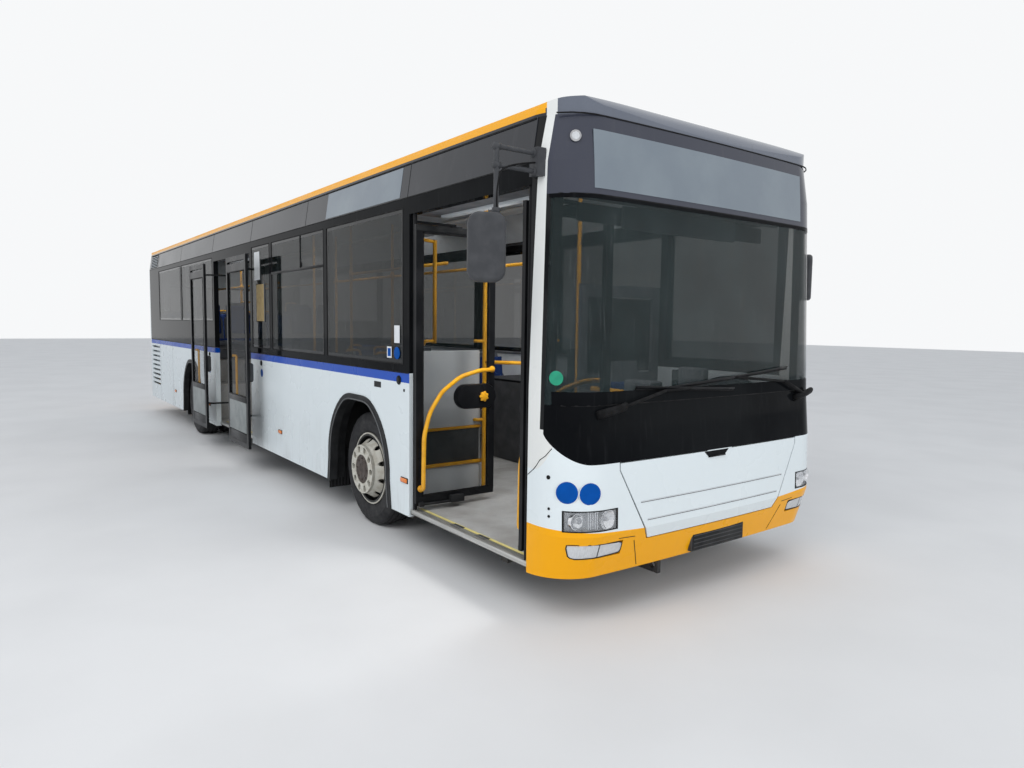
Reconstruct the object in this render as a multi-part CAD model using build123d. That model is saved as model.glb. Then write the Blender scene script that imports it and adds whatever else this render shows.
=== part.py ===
from build123d import *
from math import cos, radians, sin
import os

# A two-axle city bus about 12 m long, doors on the right side.
# Millimetres. +X is forward, +Y is the left side, +Z is up.
# The origin is on the ground, at mid length and mid width.

# Whole vehicle
LENGTH = 11980
WIDTH = 2500
WALL = 60
SKIRT_Z = 285
REAR_INSET = 15
HALF = WIDTH / 2
INNER_HALF = HALF - WALL
FRONT_X = LENGTH / 2
REAR_X = -LENGTH / 2

# Axles and wheels
WHEELBASE = 5875
FRONT_OVERHANG = 2705
FRONT_AXLE_X = FRONT_X - FRONT_OVERHANG
REAR_AXLE_X = FRONT_AXLE_X - WHEELBASE
TYRE_R = 479
TYRE_W = 275
RIM_R = 286
RIM_WALL = 12
FLANGE_R = 302
FLANGE_HALF = 115
FRONT_TRACK_HALF = 1010
DUAL_HALF = 157
REAR_DUAL_Y = 905
FIT = 0.3

# Heights
FLOOR_Z = 340
FLOOR_T = 40
RAISED_Z = 820
BELT_Z = 1345
GLASS_LOW_Z = 1410
REAR_GLASS_LOW_Z = 1700
ROOF_TOP_Z = 2985
ROOF_RISE = 135
CANTRAIL_H = 250
GLASS_TO_BAND = 70
CANTRAIL_LEAN = 37
CANTRAIL_TOP_Z = ROOF_TOP_Z - ROOF_RISE
BAND_TOP_Z = CANTRAIL_TOP_Z - CANTRAIL_H
GLASS_HIGH_Z = BAND_TOP_Z - GLASS_TO_BAND

# Front end
NOSE_LENGTH = 380
NOSE_X = FRONT_X - NOSE_LENGTH
PILLAR_W = 120
PILLAR_X = NOSE_X + PILLAR_W
CORNER_R = 300
BOW = 20
BUMPER_TOP_Z = 530
PANEL_LOW_Z = 945
SCREEN_LOW_Z = 1270
SCREEN_TOP_Z = BAND_TOP_Z - 180
SCREEN_T = 12
CAP_X = NOSE_X + 50

# Rear end
REAR_CORNER_R = 150
REAR_JOINT_X = REAR_X + 230

# Doorways on the right side
JAMB = 100
FRONT_DOOR_W = 1410
FRONT_DOOR_X = NOSE_X - FRONT_DOOR_W / 2
MID_DOOR_W = 1600
MID_DOOR_AHEAD = 2160
MID_DOOR_X = REAR_AXLE_X + MID_DOOR_AHEAD
DOOR_TOP_Z = BAND_TOP_Z - 120
SILL_T = 36

# Side windows
WINDOW_L = 1435
REAR_WINDOW_L = 1850
LEAST_WINDOW_L = 300
DRIVER_WINDOW_L = 1090
DRIVER_POST = 60
LAST_POST = 840
WINDOW_POST = 80
PANE_T = 8
PANE_SET = 4

# Wheel arches and wheel boxes
ARCH_TOP_Z = 1110
ARCH_FOOT = 628
ARCH_SHOULDER = 600
ARCH_SHOULDER_Z = 500
ARCH_KNEE = 434
ARCH_KNEE_DROP = 155
ARCH_FLAT = 190
LIP_W = 60
LIP_T = 8
BOX_HALF = 640
BOX_T = 20
FRONT_BOX_Y = 510
REAR_BOX_Y = 570

# Fore and aft place of each height of the body's ends, and its half width
# Columns: height, front end from FRONT_X, rear end from REAR_X, side from HALF
END_ROWS = (
    (SKIRT_Z, -80, REAR_INSET, 0),
    (540, 0, REAR_INSET, 0),
    (PANEL_LOW_Z, -10, REAR_INSET, 0),
    (SCREEN_LOW_Z, -40, REAR_INSET, 0),
    (SCREEN_TOP_Z, -90, 60, 0),
    (BAND_TOP_Z, -100, 80, 0),
    (CANTRAIL_TOP_Z, -120, 110, -CANTRAIL_LEAN),
)

PARTS = {}


def keep(name, *shapes):
    """Add solids to the named sub-part."""
    for shape in shapes:
        PARTS.setdefault(name, []).extend(shape.solids())


def block(x0, x1, y0, y1, z0, z1):
    """A box between two corners."""
    centre = ((x0 + x1) / 2, (y0 + y1) / 2, (z0 + z1) / 2)
    return Pos(*centre) * Box(abs(x1 - x0), abs(y1 - y0), abs(z1 - z0))


def rod(start, end, radius):
    """A round bar between two points."""
    start = Vector(*start)
    end = Vector(*end)
    plane = Plane(origin=start, z_dir=end - start)
    return plane * Cylinder(radius, (end - start).length, align=(Align.CENTER, Align.CENTER, Align.MIN))


def outline(start, *legs):
    """A closed wire: each leg is one end point, or a mid point and an end point of an arc."""
    edges = []
    here = start
    for leg in legs:
        if len(leg) == 1:
            edges.append(Edge.make_line(here, leg[0]))
        else:
            edges.append(Edge.make_three_point_arc(here, leg[0], leg[1]))
        here = leg[-1]
    return Wire(edges)


def prism(points, direction):
    """A straight-edged outline pushed along a direction."""
    face = Face(Wire.make_polygon(points, close=True))
    return Solid.extrude(face, Vector(*direction))


def pushed(wire, direction):
    """An outline with arcs pushed along a direction."""
    return Solid.extrude(Face(wire), Vector(*direction))


def spun(points, centre_x, centre_y, centre_z):
    """A ring turned about a wheel's axis from points of (radius, distance along the axis)."""
    corners = [(centre_x, centre_y + y, centre_z + r) for r, y in points]
    face = Face(Wire.make_polygon(corners, close=True))
    axis = Axis((centre_x, centre_y, centre_z), (0, 1, 0))
    return Solid.revolve(face, 360, axis)


def mirrored(shape):
    """The same piece on the other side of the bus."""
    return mirror(shape, about=Plane.XZ)


# The body's skin

def end_row(z):
    """Front end, rear end and half width of the body at a height."""
    for low, high in zip(END_ROWS, END_ROWS[1:]):
        if low[0] <= z <= high[0]:
            share = (z - low[0]) / (high[0] - low[0])
            front, rear, side = (a + (b - a) * share for a, b in zip(low[1:], high[1:]))
            return FRONT_X + front, REAR_X + rear, HALF + side
    raise ValueError("height outside the body")


def plan_wire(z, inset):
    """The body's outline at one height, moved in by an inset."""
    front, rear, half = end_row(z)
    front = front - inset
    rear = rear + inset
    half = half - inset
    corner = CORNER_R - inset / 2
    back = REAR_CORNER_R - inset / 2
    bite = 1 - cos(radians(45))
    nose = front - BOW
    return outline(
        (nose, corner - half, z),
        ((front, 0, z), (nose, half - corner, z)),
        ((nose - corner * bite, half - corner * bite, z), (nose - corner, half, z)),
        ((rear + back, half, z),),
        ((rear + back * bite, half - back * bite, z), (rear, half - back, z)),
        ((rear, back - half, z),),
        ((rear + back * bite, back * bite - half, z), (rear + back, -half, z)),
        ((nose - corner, -half, z),),
        ((nose - corner * bite, corner * bite - half, z), (nose, corner - half, z)),
    )


def layer(low, high, inset):
    """The body's whole inside between two heights, moved in by an inset."""
    heights = [low] + [row[0] for row in END_ROWS if low < row[0] < high] + [high]
    steps = []
    for z0, z1 in zip(heights, heights[1:]):
        steps.append(Solid.make_loft([plan_wire(z0, inset), plan_wire(z1, inset)], ruled=True))
    solid = steps[0]
    for step in steps[1:]:
        solid = solid + step
    return solid


def skin(low, high, inset, depth, box):
    """A stretch of the body's skin: between two heights, two insets and inside a box."""
    return (layer(low, high, inset) - layer(low, high, depth)) & box


AHEAD = block(NOSE_X, FRONT_X + 100, -HALF - 50, HALF + 50, 0, ROOF_TOP_Z + 50)
AHEAD_OF_PILLAR = block(PILLAR_X, FRONT_X + 100, -HALF - 50, HALF + 50, 0, ROOF_TOP_Z + 50)
BEHIND = block(REAR_X - 100, REAR_JOINT_X, -HALF - 50, HALF + 50, 0, ROOF_TOP_Z + 50)


# Front end

FLAP_TOP_HALF = 860
FLAP_LOW_HALF = 620
FLAP_LOW_Z = 473
FLAP_SHOULDER = 45
FLAP_GAP = 6
FLAP_SIDE_GAP = 9
FLAP_T = 40
FLAP_EDGE_T = 8
FLAP_EDGE_W = 30
LAMP_T = 40
FLAP_PIN = (FRONT_X - 9, PANEL_LOW_Z - FLAP_GAP / 2)
FLAP_PIN_HALF = 120
PANEL_CORNER_Y = 1238
PANEL_CORNER_W = 180
PANEL_CORNER_H = 165
PANEL_CORNER_MID = (53, 53)
HEAD_LAMP = (880, 1190, 570, 690)
FOG_LAMP = (820, 1165, 405, 492)


def flap_prism(side, foot):
    """The front flap's outline seen from ahead, grown at its sides and foot, through the front wall."""
    low = FLAP_LOW_Z - foot
    shoulder = PANEL_LOW_Z - FLAP_SHOULDER
    corners = [
        (FLAP_LOW_HALF + side, low),
        (FLAP_TOP_HALF + side, shoulder),
        (FLAP_TOP_HALF + side, PANEL_LOW_Z),
    ]
    points = [(NOSE_X, y, z) for y, z in corners]
    points += [(NOSE_X, -y, z) for y, z in reversed(corners)]
    return prism(points, (NOSE_LENGTH + 100, 0, 0))


def panel_corner():
    """What is cut off the black panel's rounded lower corner on the right, through the front wall."""
    x = NOSE_X
    inner_y = PANEL_CORNER_W - PANEL_CORNER_Y
    mid = (x, PANEL_CORNER_MID[0] - PANEL_CORNER_Y, PANEL_LOW_Z + PANEL_CORNER_MID[1])
    low = PANEL_LOW_Z - 1
    high = PANEL_LOW_Z + PANEL_CORNER_H
    wire = outline(
        (x, inner_y, PANEL_LOW_Z),
        (mid, (x, -PANEL_CORNER_Y, high)),
        ((x, -HALF - 10, high),),
        ((x, -HALF - 10, low),),
        ((x, inner_y, low),),
        ((x, inner_y, PANEL_LOW_Z),),
    )
    return pushed(wire, (NOSE_LENGTH + 100, 0, 0))


def lamp_pair(y0, y1, z0, z1):
    """A lamp in each front corner, as thick as its pocket is deep."""
    right = skin(z0, z1, 0, LAMP_T, block(NOSE_X, FRONT_X + 100, -y1, -y0, z0, z1))
    return right, mirrored(right)


def front_end():
    lamps = [*lamp_pair(*HEAD_LAMP), *lamp_pair(*FOG_LAMP)]
    keep("front_lamps", *lamps)
    opening = flap_prism(FLAP_SIDE_GAP, FLAP_GAP)

    bumper = skin(SKIRT_Z, BUMPER_TOP_Z, 0, WALL, AHEAD) - opening
    mask = skin(BUMPER_TOP_Z, PANEL_LOW_Z, 0, WALL, AHEAD) - opening
    for lamp in lamps:
        bumper = bumper - lamp
        mask = mask - lamp
    keep("front_bumper", bumper)

    mask = mask + skin(PANEL_LOW_Z, CANTRAIL_TOP_Z, 0, WALL, AHEAD - AHEAD_OF_PILLAR)
    panel = skin(PANEL_LOW_Z, SCREEN_LOW_Z, 0, WALL, AHEAD_OF_PILLAR)
    corner = panel_corner()
    corner = corner + mirrored(corner)
    keep("front_mask", mask + (panel & corner))
    keep("front_panel", panel - corner)
    keep("windscreen", skin(SCREEN_LOW_Z, SCREEN_TOP_Z, 0, SCREEN_T, AHEAD_OF_PILLAR))
    keep("display_glass", skin(SCREEN_TOP_Z, CANTRAIL_TOP_Z, 0, WALL, AHEAD_OF_PILLAR))

    flap = skin(FLAP_LOW_Z, PANEL_LOW_Z - FLAP_GAP, 0, FLAP_EDGE_T, flap_prism(0, 0))
    inner = flap_prism(-FLAP_EDGE_W, -FLAP_EDGE_W)
    flap = flap + skin(FLAP_LOW_Z, PANEL_LOW_Z - FLAP_GAP, FLAP_EDGE_T, FLAP_T, inner)
    x, z = FLAP_PIN
    pin = rod((x, -FLAP_PIN_HALF, z), (x, FLAP_PIN_HALF, z), FLAP_GAP / 2 - FIT)
    keep("front_flap", flap, pin)


# Rear end

LID_HALF = 960
LID_LOW_Z = 420
LID_TOP_Z = 1200
LID_GAP = 6
LID_T = 45
LID_PIN = (REAR_X + REAR_INSET - 1.5, LID_TOP_Z + LID_GAP / 2)
LID_PIN_Y = (300, 480)
REAR_WINDOW_HALF = 900
REAR_WINDOW_LOW_Z = 1560
REAR_WINDOW_TOP_Z = GLASS_HIGH_Z - 200
REAR_LAMP_Y = (1010, 1130)
REAR_LAMP_Z = (620, 1180)


def rear_end():
    wall = skin(SKIRT_Z, CANTRAIL_TOP_Z, 0, WALL, BEHIND)
    lid_hole = block(REAR_X - 50, REAR_JOINT_X, -LID_HALF - LID_GAP, LID_HALF + LID_GAP,
                     LID_LOW_Z - LID_GAP, LID_TOP_Z + LID_GAP)
    window_hole = block(REAR_X - 50, REAR_JOINT_X, -REAR_WINDOW_HALF, REAR_WINDOW_HALF,
                        REAR_WINDOW_LOW_Z, REAR_WINDOW_TOP_Z)
    keep("rear_wall", wall - lid_hole - window_hole)

    lid_box = block(REAR_X - 50, REAR_JOINT_X, -LID_HALF, LID_HALF, LID_LOW_Z, LID_TOP_Z)
    keep("engine_lid", skin(LID_LOW_Z, LID_TOP_Z, 0, LID_T, lid_box))
    x, z = LID_PIN
    pin = rod((x, LID_PIN_Y[0], z), (x, LID_PIN_Y[1], z), LID_GAP / 2 - FIT)
    keep("engine_lid", pin, mirrored(pin))

    pane = skin(REAR_WINDOW_LOW_Z, REAR_WINDOW_TOP_Z, PANE_SET, PANE_SET + PANE_T, window_hole)
    keep("glazing", pane)

    y0, y1 = REAR_LAMP_Y
    z0, z1 = REAR_LAMP_Z
    lamp = block(REAR_X, REAR_X + REAR_INSET, -y1, -y0, z0, z1)
    keep("rear_lamps", lamp, mirrored(lamp))


# Side walls

def arch_prism(axle_x, grow, y0, y1):
    """The wheel arch's outline, grown by a margin, between two places across the bus."""
    foot = ARCH_FOOT + grow
    shoulder = ARCH_SHOULDER + grow
    knee = ARCH_KNEE + grow * cos(radians(45))
    knee_z = ARCH_TOP_Z - ARCH_KNEE_DROP + grow * sin(radians(45))
    top = ARCH_TOP_Z + grow
    low = SKIRT_Z - 50
    wire = outline(
        (axle_x - foot, y0, low),
        ((axle_x - foot, y0, SKIRT_Z),),
        ((axle_x - shoulder, y0, ARCH_SHOULDER_Z),),
        ((axle_x - knee, y0, knee_z), (axle_x - ARCH_FLAT, y0, top)),
        ((axle_x + ARCH_FLAT, y0, top),),
        ((axle_x + knee, y0, knee_z), (axle_x + shoulder, y0, ARCH_SHOULDER_Z)),
        ((axle_x + foot, y0, SKIRT_Z),),
        ((axle_x + foot, y0, low),),
        ((axle_x - foot, y0, low),),
    )
    return pushed(wire, (0, y1 - y0, 0))


def arch_lip(axle_x):
    """The raised lip round the right side's arch."""
    outer = arch_prism(axle_x, LIP_W, -HALF - LIP_T, -HALF)
    inner = arch_prism(axle_x, 0, -HALF - LIP_T - 1, -HALF + 1)
    above = block(axle_x - HALF, axle_x + HALF, -HALF - LIP_T, -HALF, SKIRT_Z, BELT_Z)
    return (outer - inner) & above


def doorway(centre_x, width):
    """A doorway's opening in the right wall."""
    return block(centre_x - width / 2, centre_x + width / 2, -HALF - 50, -INNER_HALF + 50,
                 SKIRT_Z - 50, DOOR_TOP_Z)


def bays(front, width, rear):
    """Windows of one width from front to rear with a post between them; the last fills the rest."""
    spans = []
    while front - width - WINDOW_POST - LEAST_WINDOW_L >= rear:
        spans.append((front - width, front))
        front = front - width - WINDOW_POST
    spans.append((rear, front))
    return spans


def window_rows():
    """All side windows: rear edge, front edge, lower edge, upper edge, side."""
    mid_front = MID_DOOR_X + MID_DOOR_W / 2 + WINDOW_POST
    mid_rear = MID_DOOR_X - MID_DOOR_W / 2 - WINDOW_POST
    last = REAR_JOINT_X + LAST_POST
    driver_front = NOSE_X - DRIVER_POST
    driver_rear = driver_front - DRIVER_WINDOW_L
    rows = [(driver_rear, driver_front, GLASS_LOW_Z, GLASS_HIGH_Z, 1)]
    door_rear = FRONT_DOOR_X - FRONT_DOOR_W / 2 - JAMB
    groups = (
        (door_rear, WINDOW_L, mid_front, GLASS_LOW_Z, -1),
        (mid_rear, REAR_WINDOW_L, last, REAR_GLASS_LOW_Z, -1),
        (driver_rear - WINDOW_POST, WINDOW_L, mid_rear, GLASS_LOW_Z, 1),
        (mid_rear - WINDOW_POST, REAR_WINDOW_L, last, REAR_GLASS_LOW_Z, 1),
    )
    for start, width, end, low, side in groups:
        for rear, front in bays(start, width, end):
            rows.append((rear, front, low, GLASS_HIGH_Z, side))
    return rows


# Cooling grille in the right side, behind the rear wheels
GRILLE_L = 750
GRILLE_REAR_X = REAR_JOINT_X + 20
GRILLE_Z = (520, 1260)
GRILLE_T = 24
GRILLE_SLOTS = 9
GRILLE_SLOT_H = 34
GRILLE_EDGE = 25


def side_grille():
    """The grille plate with its slots, and the hole that it fills."""
    x0 = GRILLE_REAR_X
    x1 = x0 + GRILLE_L
    z0, z1 = GRILLE_Z
    hole = block(x0, x1, -HALF, -INNER_HALF, z0, z1)
    plate = block(x0, x1, -HALF, -HALF + GRILLE_T, z0, z1)
    pitch = (z1 - z0) / GRILLE_SLOTS
    for i in range(GRILLE_SLOTS):
        z = z0 + pitch * (i + 0.5)
        plate = plate - block(x0 + GRILLE_EDGE, x1 - GRILLE_EDGE, -HALF, -HALF + GRILLE_T,
                              z - GRILLE_SLOT_H / 2, z + GRILLE_SLOT_H / 2)
    return plate, hole


def side_walls():
    rear_joint = REAR_JOINT_X
    arches = [arch_prism(x, 0, -HALF - 50, HALF + 50) for x in (FRONT_AXLE_X, REAR_AXLE_X)]
    plate, vent = side_grille()
    keep("side_grille", plate)
    doors = (doorway(FRONT_DOOR_X, FRONT_DOOR_W), doorway(MID_DOOR_X, MID_DOOR_W))
    windows = window_rows()
    for name, side in (("right", -1), ("left", 1)):
        lower = block(rear_joint, NOSE_X, side * INNER_HALF, side * HALF, SKIRT_Z, BELT_Z)
        band = block(rear_joint, NOSE_X, side * INNER_HALF, side * HALF, BELT_Z, BAND_TOP_Z)
        for arch in arches:
            lower = lower - arch
        if side < 0:
            lower = lower - vent
            for door in doors:
                lower = lower - door
                band = band - door
        for rear, front, z0, z1, where in windows:
            if where == side:
                hole = block(rear, front, side * INNER_HALF, side * HALF, z0, z1)
                band = band - hole
                outer = side * (HALF - PANE_SET)
                keep("glazing", block(rear, front, outer, outer - side * PANE_T, z0, z1))
        keep("side_" + name, lower)
        keep("window_band_" + name, band)
        top = HALF - CANTRAIL_LEAN
        cantrail = prism(
            [
                (rear_joint, side * HALF, BAND_TOP_Z),
                (rear_joint, side * INNER_HALF, BAND_TOP_Z),
                (rear_joint, side * (top - WALL), CANTRAIL_TOP_Z),
                (rear_joint, side * top, CANTRAIL_TOP_Z),
            ],
            (NOSE_X - rear_joint, 0, 0),
        )
        keep("cantrails", cantrail)
    for x in (FRONT_AXLE_X, REAR_AXLE_X):
        lip = arch_lip(x)
        keep("arch_lips", lip, mirrored(lip))


# Roof

CEILING_Z = ROOF_TOP_Z - 95
EDGE_Z = CANTRAIL_TOP_Z + 65
EDGE_Y = HALF - CANTRAIL_LEAN - 8
SHOULDER_Y = HALF - 120
SHOULDER_DROP = 45
SHOULDER_BULGE = 5
CAP_RUN = 170
CAP_KNEE_RUN = 51
CAP_KNEE_RISE = 0.65
CAP_LIP = 4
HATCH_L = 900
HATCH_W = 640
HATCH_Z = ROOF_TOP_Z + 35
HATCH_AHEAD = 2300
HATCH_BEHIND = 700


def roof_volume():
    """The roof's whole volume above the cantrails, with its upright edge strip and rounded ends."""
    foot = CANTRAIL_TOP_Z
    x0 = REAR_X
    side = HALF - CANTRAIL_LEAN
    shoulder_z = ROOF_TOP_Z - SHOULDER_DROP
    mid_y = (EDGE_Y + SHOULDER_Y) / 2
    mid_z = (EDGE_Z + shoulder_z) / 2 + SHOULDER_BULGE
    section = outline(
        (x0, -side, foot),
        ((x0, -EDGE_Y, EDGE_Z),),
        ((x0, -mid_y, mid_z), (x0, -SHOULDER_Y, shoulder_z)),
        ((x0, 0, ROOF_TOP_Z), (x0, SHOULDER_Y, shoulder_z)),
        ((x0, mid_y, mid_z), (x0, EDGE_Y, EDGE_Z)),
        ((x0, side, foot),),
        ((x0, -side, foot),),
    )
    front = FRONT_X + END_ROWS[-1][1] + CAP_LIP
    rear = REAR_X + END_ROWS[-1][2] - CAP_LIP
    knee = CAP_KNEE_RUN
    knee_z = foot + (ROOF_TOP_Z - foot) * CAP_KNEE_RISE
    y0 = -HALF
    profile = outline(
        (front, y0, foot),
        ((front - knee, y0, knee_z), (front - CAP_RUN, y0, ROOF_TOP_Z)),
        ((rear + CAP_RUN, y0, ROOF_TOP_Z),),
        ((rear + knee, y0, knee_z), (rear, y0, foot)),
        ((front, y0, foot),),
    )
    plan = pushed(plan_wire(foot, 0), (0, 0, ROOF_TOP_Z - foot))
    return pushed(section, (LENGTH, 0, 0)) & pushed(profile, (0, WIDTH, 0)) & plan


def roof():
    volume = roof_volume()
    headroom = pushed(plan_wire(CANTRAIL_TOP_Z, WALL), (0, 0, CEILING_Z - CANTRAIL_TOP_Z))
    shell = volume - headroom
    cap_box = block(CAP_X, FRONT_X, -HALF, HALF, CANTRAIL_TOP_Z, ROOF_TOP_Z)
    rim_box = block(REAR_X, CAP_X, -HALF, HALF, CANTRAIL_TOP_Z, CEILING_Z)
    keep("roof_cap", shell & cap_box)
    keep("roof_rim", shell & rim_box)
    keep("roof", shell - cap_box - rim_box)
    for x in (MID_DOOR_X + HATCH_AHEAD, REAR_AXLE_X - HATCH_BEHIND):
        box = block(x - HATCH_L / 2, x + HATCH_L / 2, -HATCH_W / 2, HATCH_W / 2, CEILING_Z, HATCH_Z)
        keep("roof_hatches", box - volume)


# Floor

RAISED_GAP = 250
RAISED_X = MID_DOOR_X - MID_DOOR_W / 2 - RAISED_GAP
STEP_L = 330
STEP_HALF = 330
FLOOR_FRONT_X = FRONT_X - 270
FLOOR_FRONT_HALF = 1090
FLOOR_CORNER_X = NOSE_X - 70
SILL_Y = HALF - 12
MID_SILL_Y = HALF - 50


def front_slab(rear, right, left, z0, z1):
    """A slab that reaches to the front, with its corners cut to stay inside the rounded body."""
    corners = [(rear, left), (FLOOR_CORNER_X, left), (FLOOR_FRONT_X, min(left, FLOOR_FRONT_HALF))]
    corners += [(FLOOR_FRONT_X, max(right, -FLOOR_FRONT_HALF)), (FLOOR_CORNER_X, right), (rear, right)]
    return prism([(x, y, z0) for x, y in corners], (0, 0, z1 - z0))


def over_wheels(deck, axle_x, box_y):
    """A deck with a box over each of an axle's two wheels, open to the wheels."""
    low = deck.bounding_box().min.Z
    cover = block(axle_x - BOX_HALF - BOX_T, axle_x + BOX_HALF + BOX_T, -INNER_HALF, -box_y + BOX_T,
                  low, ARCH_TOP_Z + BOX_T)
    space = block(axle_x - BOX_HALF, axle_x + BOX_HALF, -HALF, -box_y, 0, ARCH_TOP_Z)
    return deck + cover + mirrored(cover) - space - mirrored(space)


def floor():
    low = front_slab(RAISED_X, -INNER_HALF, INNER_HALF, FLOOR_Z - FLOOR_T, FLOOR_Z)
    sills = ((FRONT_DOOR_X, FRONT_DOOR_W, SILL_Y), (MID_DOOR_X, MID_DOOR_W, MID_SILL_Y))
    for centre, width, reach in sills:
        low = low + block(centre - width / 2, centre + width / 2, -reach, -INNER_HALF,
                          FLOOR_Z - SILL_T, FLOOR_Z)
    keep("low_floor", over_wheels(low, FRONT_AXLE_X, FRONT_BOX_Y))

    raised = block(REAR_JOINT_X, RAISED_X + FLOOR_T, -INNER_HALF, INNER_HALF,
                   RAISED_Z - FLOOR_T, RAISED_Z)
    raised = over_wheels(raised, REAR_AXLE_X, REAR_BOX_Y)
    riser = block(RAISED_X, RAISED_X + FLOOR_T, -INNER_HALF, INNER_HALF, FLOOR_Z, RAISED_Z)
    step = block(RAISED_X, RAISED_X + STEP_L, -STEP_HALF, STEP_HALF, FLOOR_Z, (FLOOR_Z + RAISED_Z) / 2)
    keep("raised_floor", raised + riser + step)


# Underframe

RAIL_Y = 450
RAIL_W = 80
LOW_RAIL_Z = (230, FLOOR_Z - FLOOR_T)
HIGH_RAIL_Z = (620, RAISED_Z - FLOOR_T)
MEMBER_W = 70
MEMBER_REACH = INNER_HALF - 20
MEMBER_CLEAR = 60
MEMBER_BAYS = 4
KNEE_L = 100
PAD_L = 120
PAD_T = 12
FRONT_PAD_X = FRONT_AXLE_X - BOX_HALF - 260
REAR_PAD_X = REAR_AXLE_X + BOX_HALF + 210
TOW_R = 21
TOW_Z = 250
TOW_X = FRONT_X - 130
TOW_T = 30
TOW_EDGE = 45
RAIL_FRONT_X = FLOOR_FRONT_X - 400

# The engine, one block between the rails
ENGINE_L = 1300
ENGINE_REAR_X = REAR_JOINT_X + 140
ENGINE_FRONT_X = ENGINE_REAR_X + ENGINE_L
ENGINE_Z = (330, RAISED_Z - FLOOR_T - 10)
ENGINE_FOOT_Z = (HIGH_RAIL_Z[0] + 20, HIGH_RAIL_Z[0] + 80)
ENGINE_FOOT_L = 100
ENGINE_FOOT_IN = 150
ENGINE_SIDE_GAP = 20


def underframe():
    knee = RAISED_X - KNEE_L
    for side in (-1, 1):
        y0 = side * RAIL_Y - RAIL_W / 2
        y1 = side * RAIL_Y + RAIL_W / 2
        rail = block(knee, RAIL_FRONT_X, y0, y1, *LOW_RAIL_Z)
        rail = rail + block(knee, RAISED_X, y0, y1, LOW_RAIL_Z[0], HIGH_RAIL_Z[1])
        rail = rail + block(REAR_JOINT_X + MEMBER_CLEAR, knee, y0, y1, *HIGH_RAIL_Z)
        for x, z in ((FRONT_PAD_X, LOW_RAIL_Z[0]), (REAR_PAD_X, HIGH_RAIL_Z[0])):
            rail = rail + block(x - PAD_L / 2, x + PAD_L / 2, y0, y1, z - PAD_T, z)
        if side < 0:
            lug = block(RAIL_FRONT_X, TOW_X + TOW_EDGE, -RAIL_Y - TOW_T / 2, -RAIL_Y + TOW_T / 2,
                        TOW_Z - TOW_EDGE, SKIRT_Z - FLAP_GAP)
            lug = lug - rod((TOW_X, -RAIL_Y - RAIL_W, TOW_Z), (TOW_X, -RAIL_Y + RAIL_W, TOW_Z), TOW_R)
            rail = rail + lug
        keep("frame_rails", rail)

    wheels_front = FRONT_AXLE_X + BOX_HALF + 2 * MEMBER_CLEAR
    wheels_rear = FRONT_AXLE_X - BOX_HALF - 2 * MEMBER_CLEAR
    low = [RAIL_FRONT_X - MEMBER_W, wheels_front]
    for i in range(MEMBER_BAYS):
        low.append(wheels_rear - (wheels_rear - RAISED_X) / MEMBER_BAYS * i)
    high = (
        REAR_AXLE_X + BOX_HALF + MEMBER_CLEAR,
        REAR_AXLE_X - BOX_HALF - MEMBER_CLEAR - MEMBER_W,
        REAR_JOINT_X + MEMBER_CLEAR,
    )
    inner = RAIL_Y - RAIL_W / 2
    outer = RAIL_Y + RAIL_W / 2
    rows = [(x, LOW_RAIL_Z[0] + 10, LOW_RAIL_Z[1]) for x in low]
    rows += [(x, HIGH_RAIL_Z[1] - 100, HIGH_RAIL_Z[1]) for x in high]
    for x, z0, z1 in rows:
        spans = [(-MEMBER_REACH, -outer), (outer, MEMBER_REACH)]
        if x > ENGINE_FRONT_X or x + MEMBER_W < ENGINE_REAR_X:
            spans.append((-inner, inner))
        for y0, y1 in spans:
            keep("cross_members", block(x, x + MEMBER_W, y0, y1, z0, z1))


# Axles

BEAM_W = 100
BEAM_Z = (150, LOW_RAIL_Z[0])
KINGPIN_Y = 880
KINGPIN_R = 22
BOSS_R = 45
BOSS_HALF = 60
LUG_T = 40
NECK_Y = (680, 760)
WEB_GAP = 60
WEB_T = 25
SPINDLE_R = 35
SPINDLE_END = 80
SPRING_R = 105
SPRING_Y = 435
SPRING_X = 430
SPRING_ARM_W = 90
SPRING_ARM_Z = (TYRE_R - 110, TYRE_R - 50)
AXLE_R = 90
AXLE_HALF = 560
DIFF_R = 190
DIFF_HALF = 170
REAR_SPINDLE_R = 60
REAR_SPINDLE_END = 60


def front_axle():
    x0 = FRONT_AXLE_X - BEAM_W / 2
    x1 = FRONT_AXLE_X + BEAM_W / 2
    beam = block(x0, x1, -NECK_Y[1], NECK_Y[1], *BEAM_Z)
    for side in (-1, 1):
        a = side * NECK_Y[0]
        b = side * NECK_Y[1]
        pin = side * KINGPIN_Y
        beam = beam + block(x0, x1, a, b, BEAM_Z[0], TYRE_R + 40)
        beam = beam + block(x0 + 10, x1 - 10, a, pin, TYRE_R - 40, TYRE_R + 40)
        beam = beam + rod((FRONT_AXLE_X, pin, TYRE_R - BOSS_HALF), (FRONT_AXLE_X, pin, TYRE_R + BOSS_HALF),
                          BOSS_R)
    for side in (-1, 1):
        pin = side * KINGPIN_Y
        beam = beam - rod((FRONT_AXLE_X, pin, TYRE_R - 100), (FRONT_AXLE_X, pin, TYRE_R + 100),
                          KINGPIN_R + FIT)
    keep("front_axle", beam)


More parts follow.
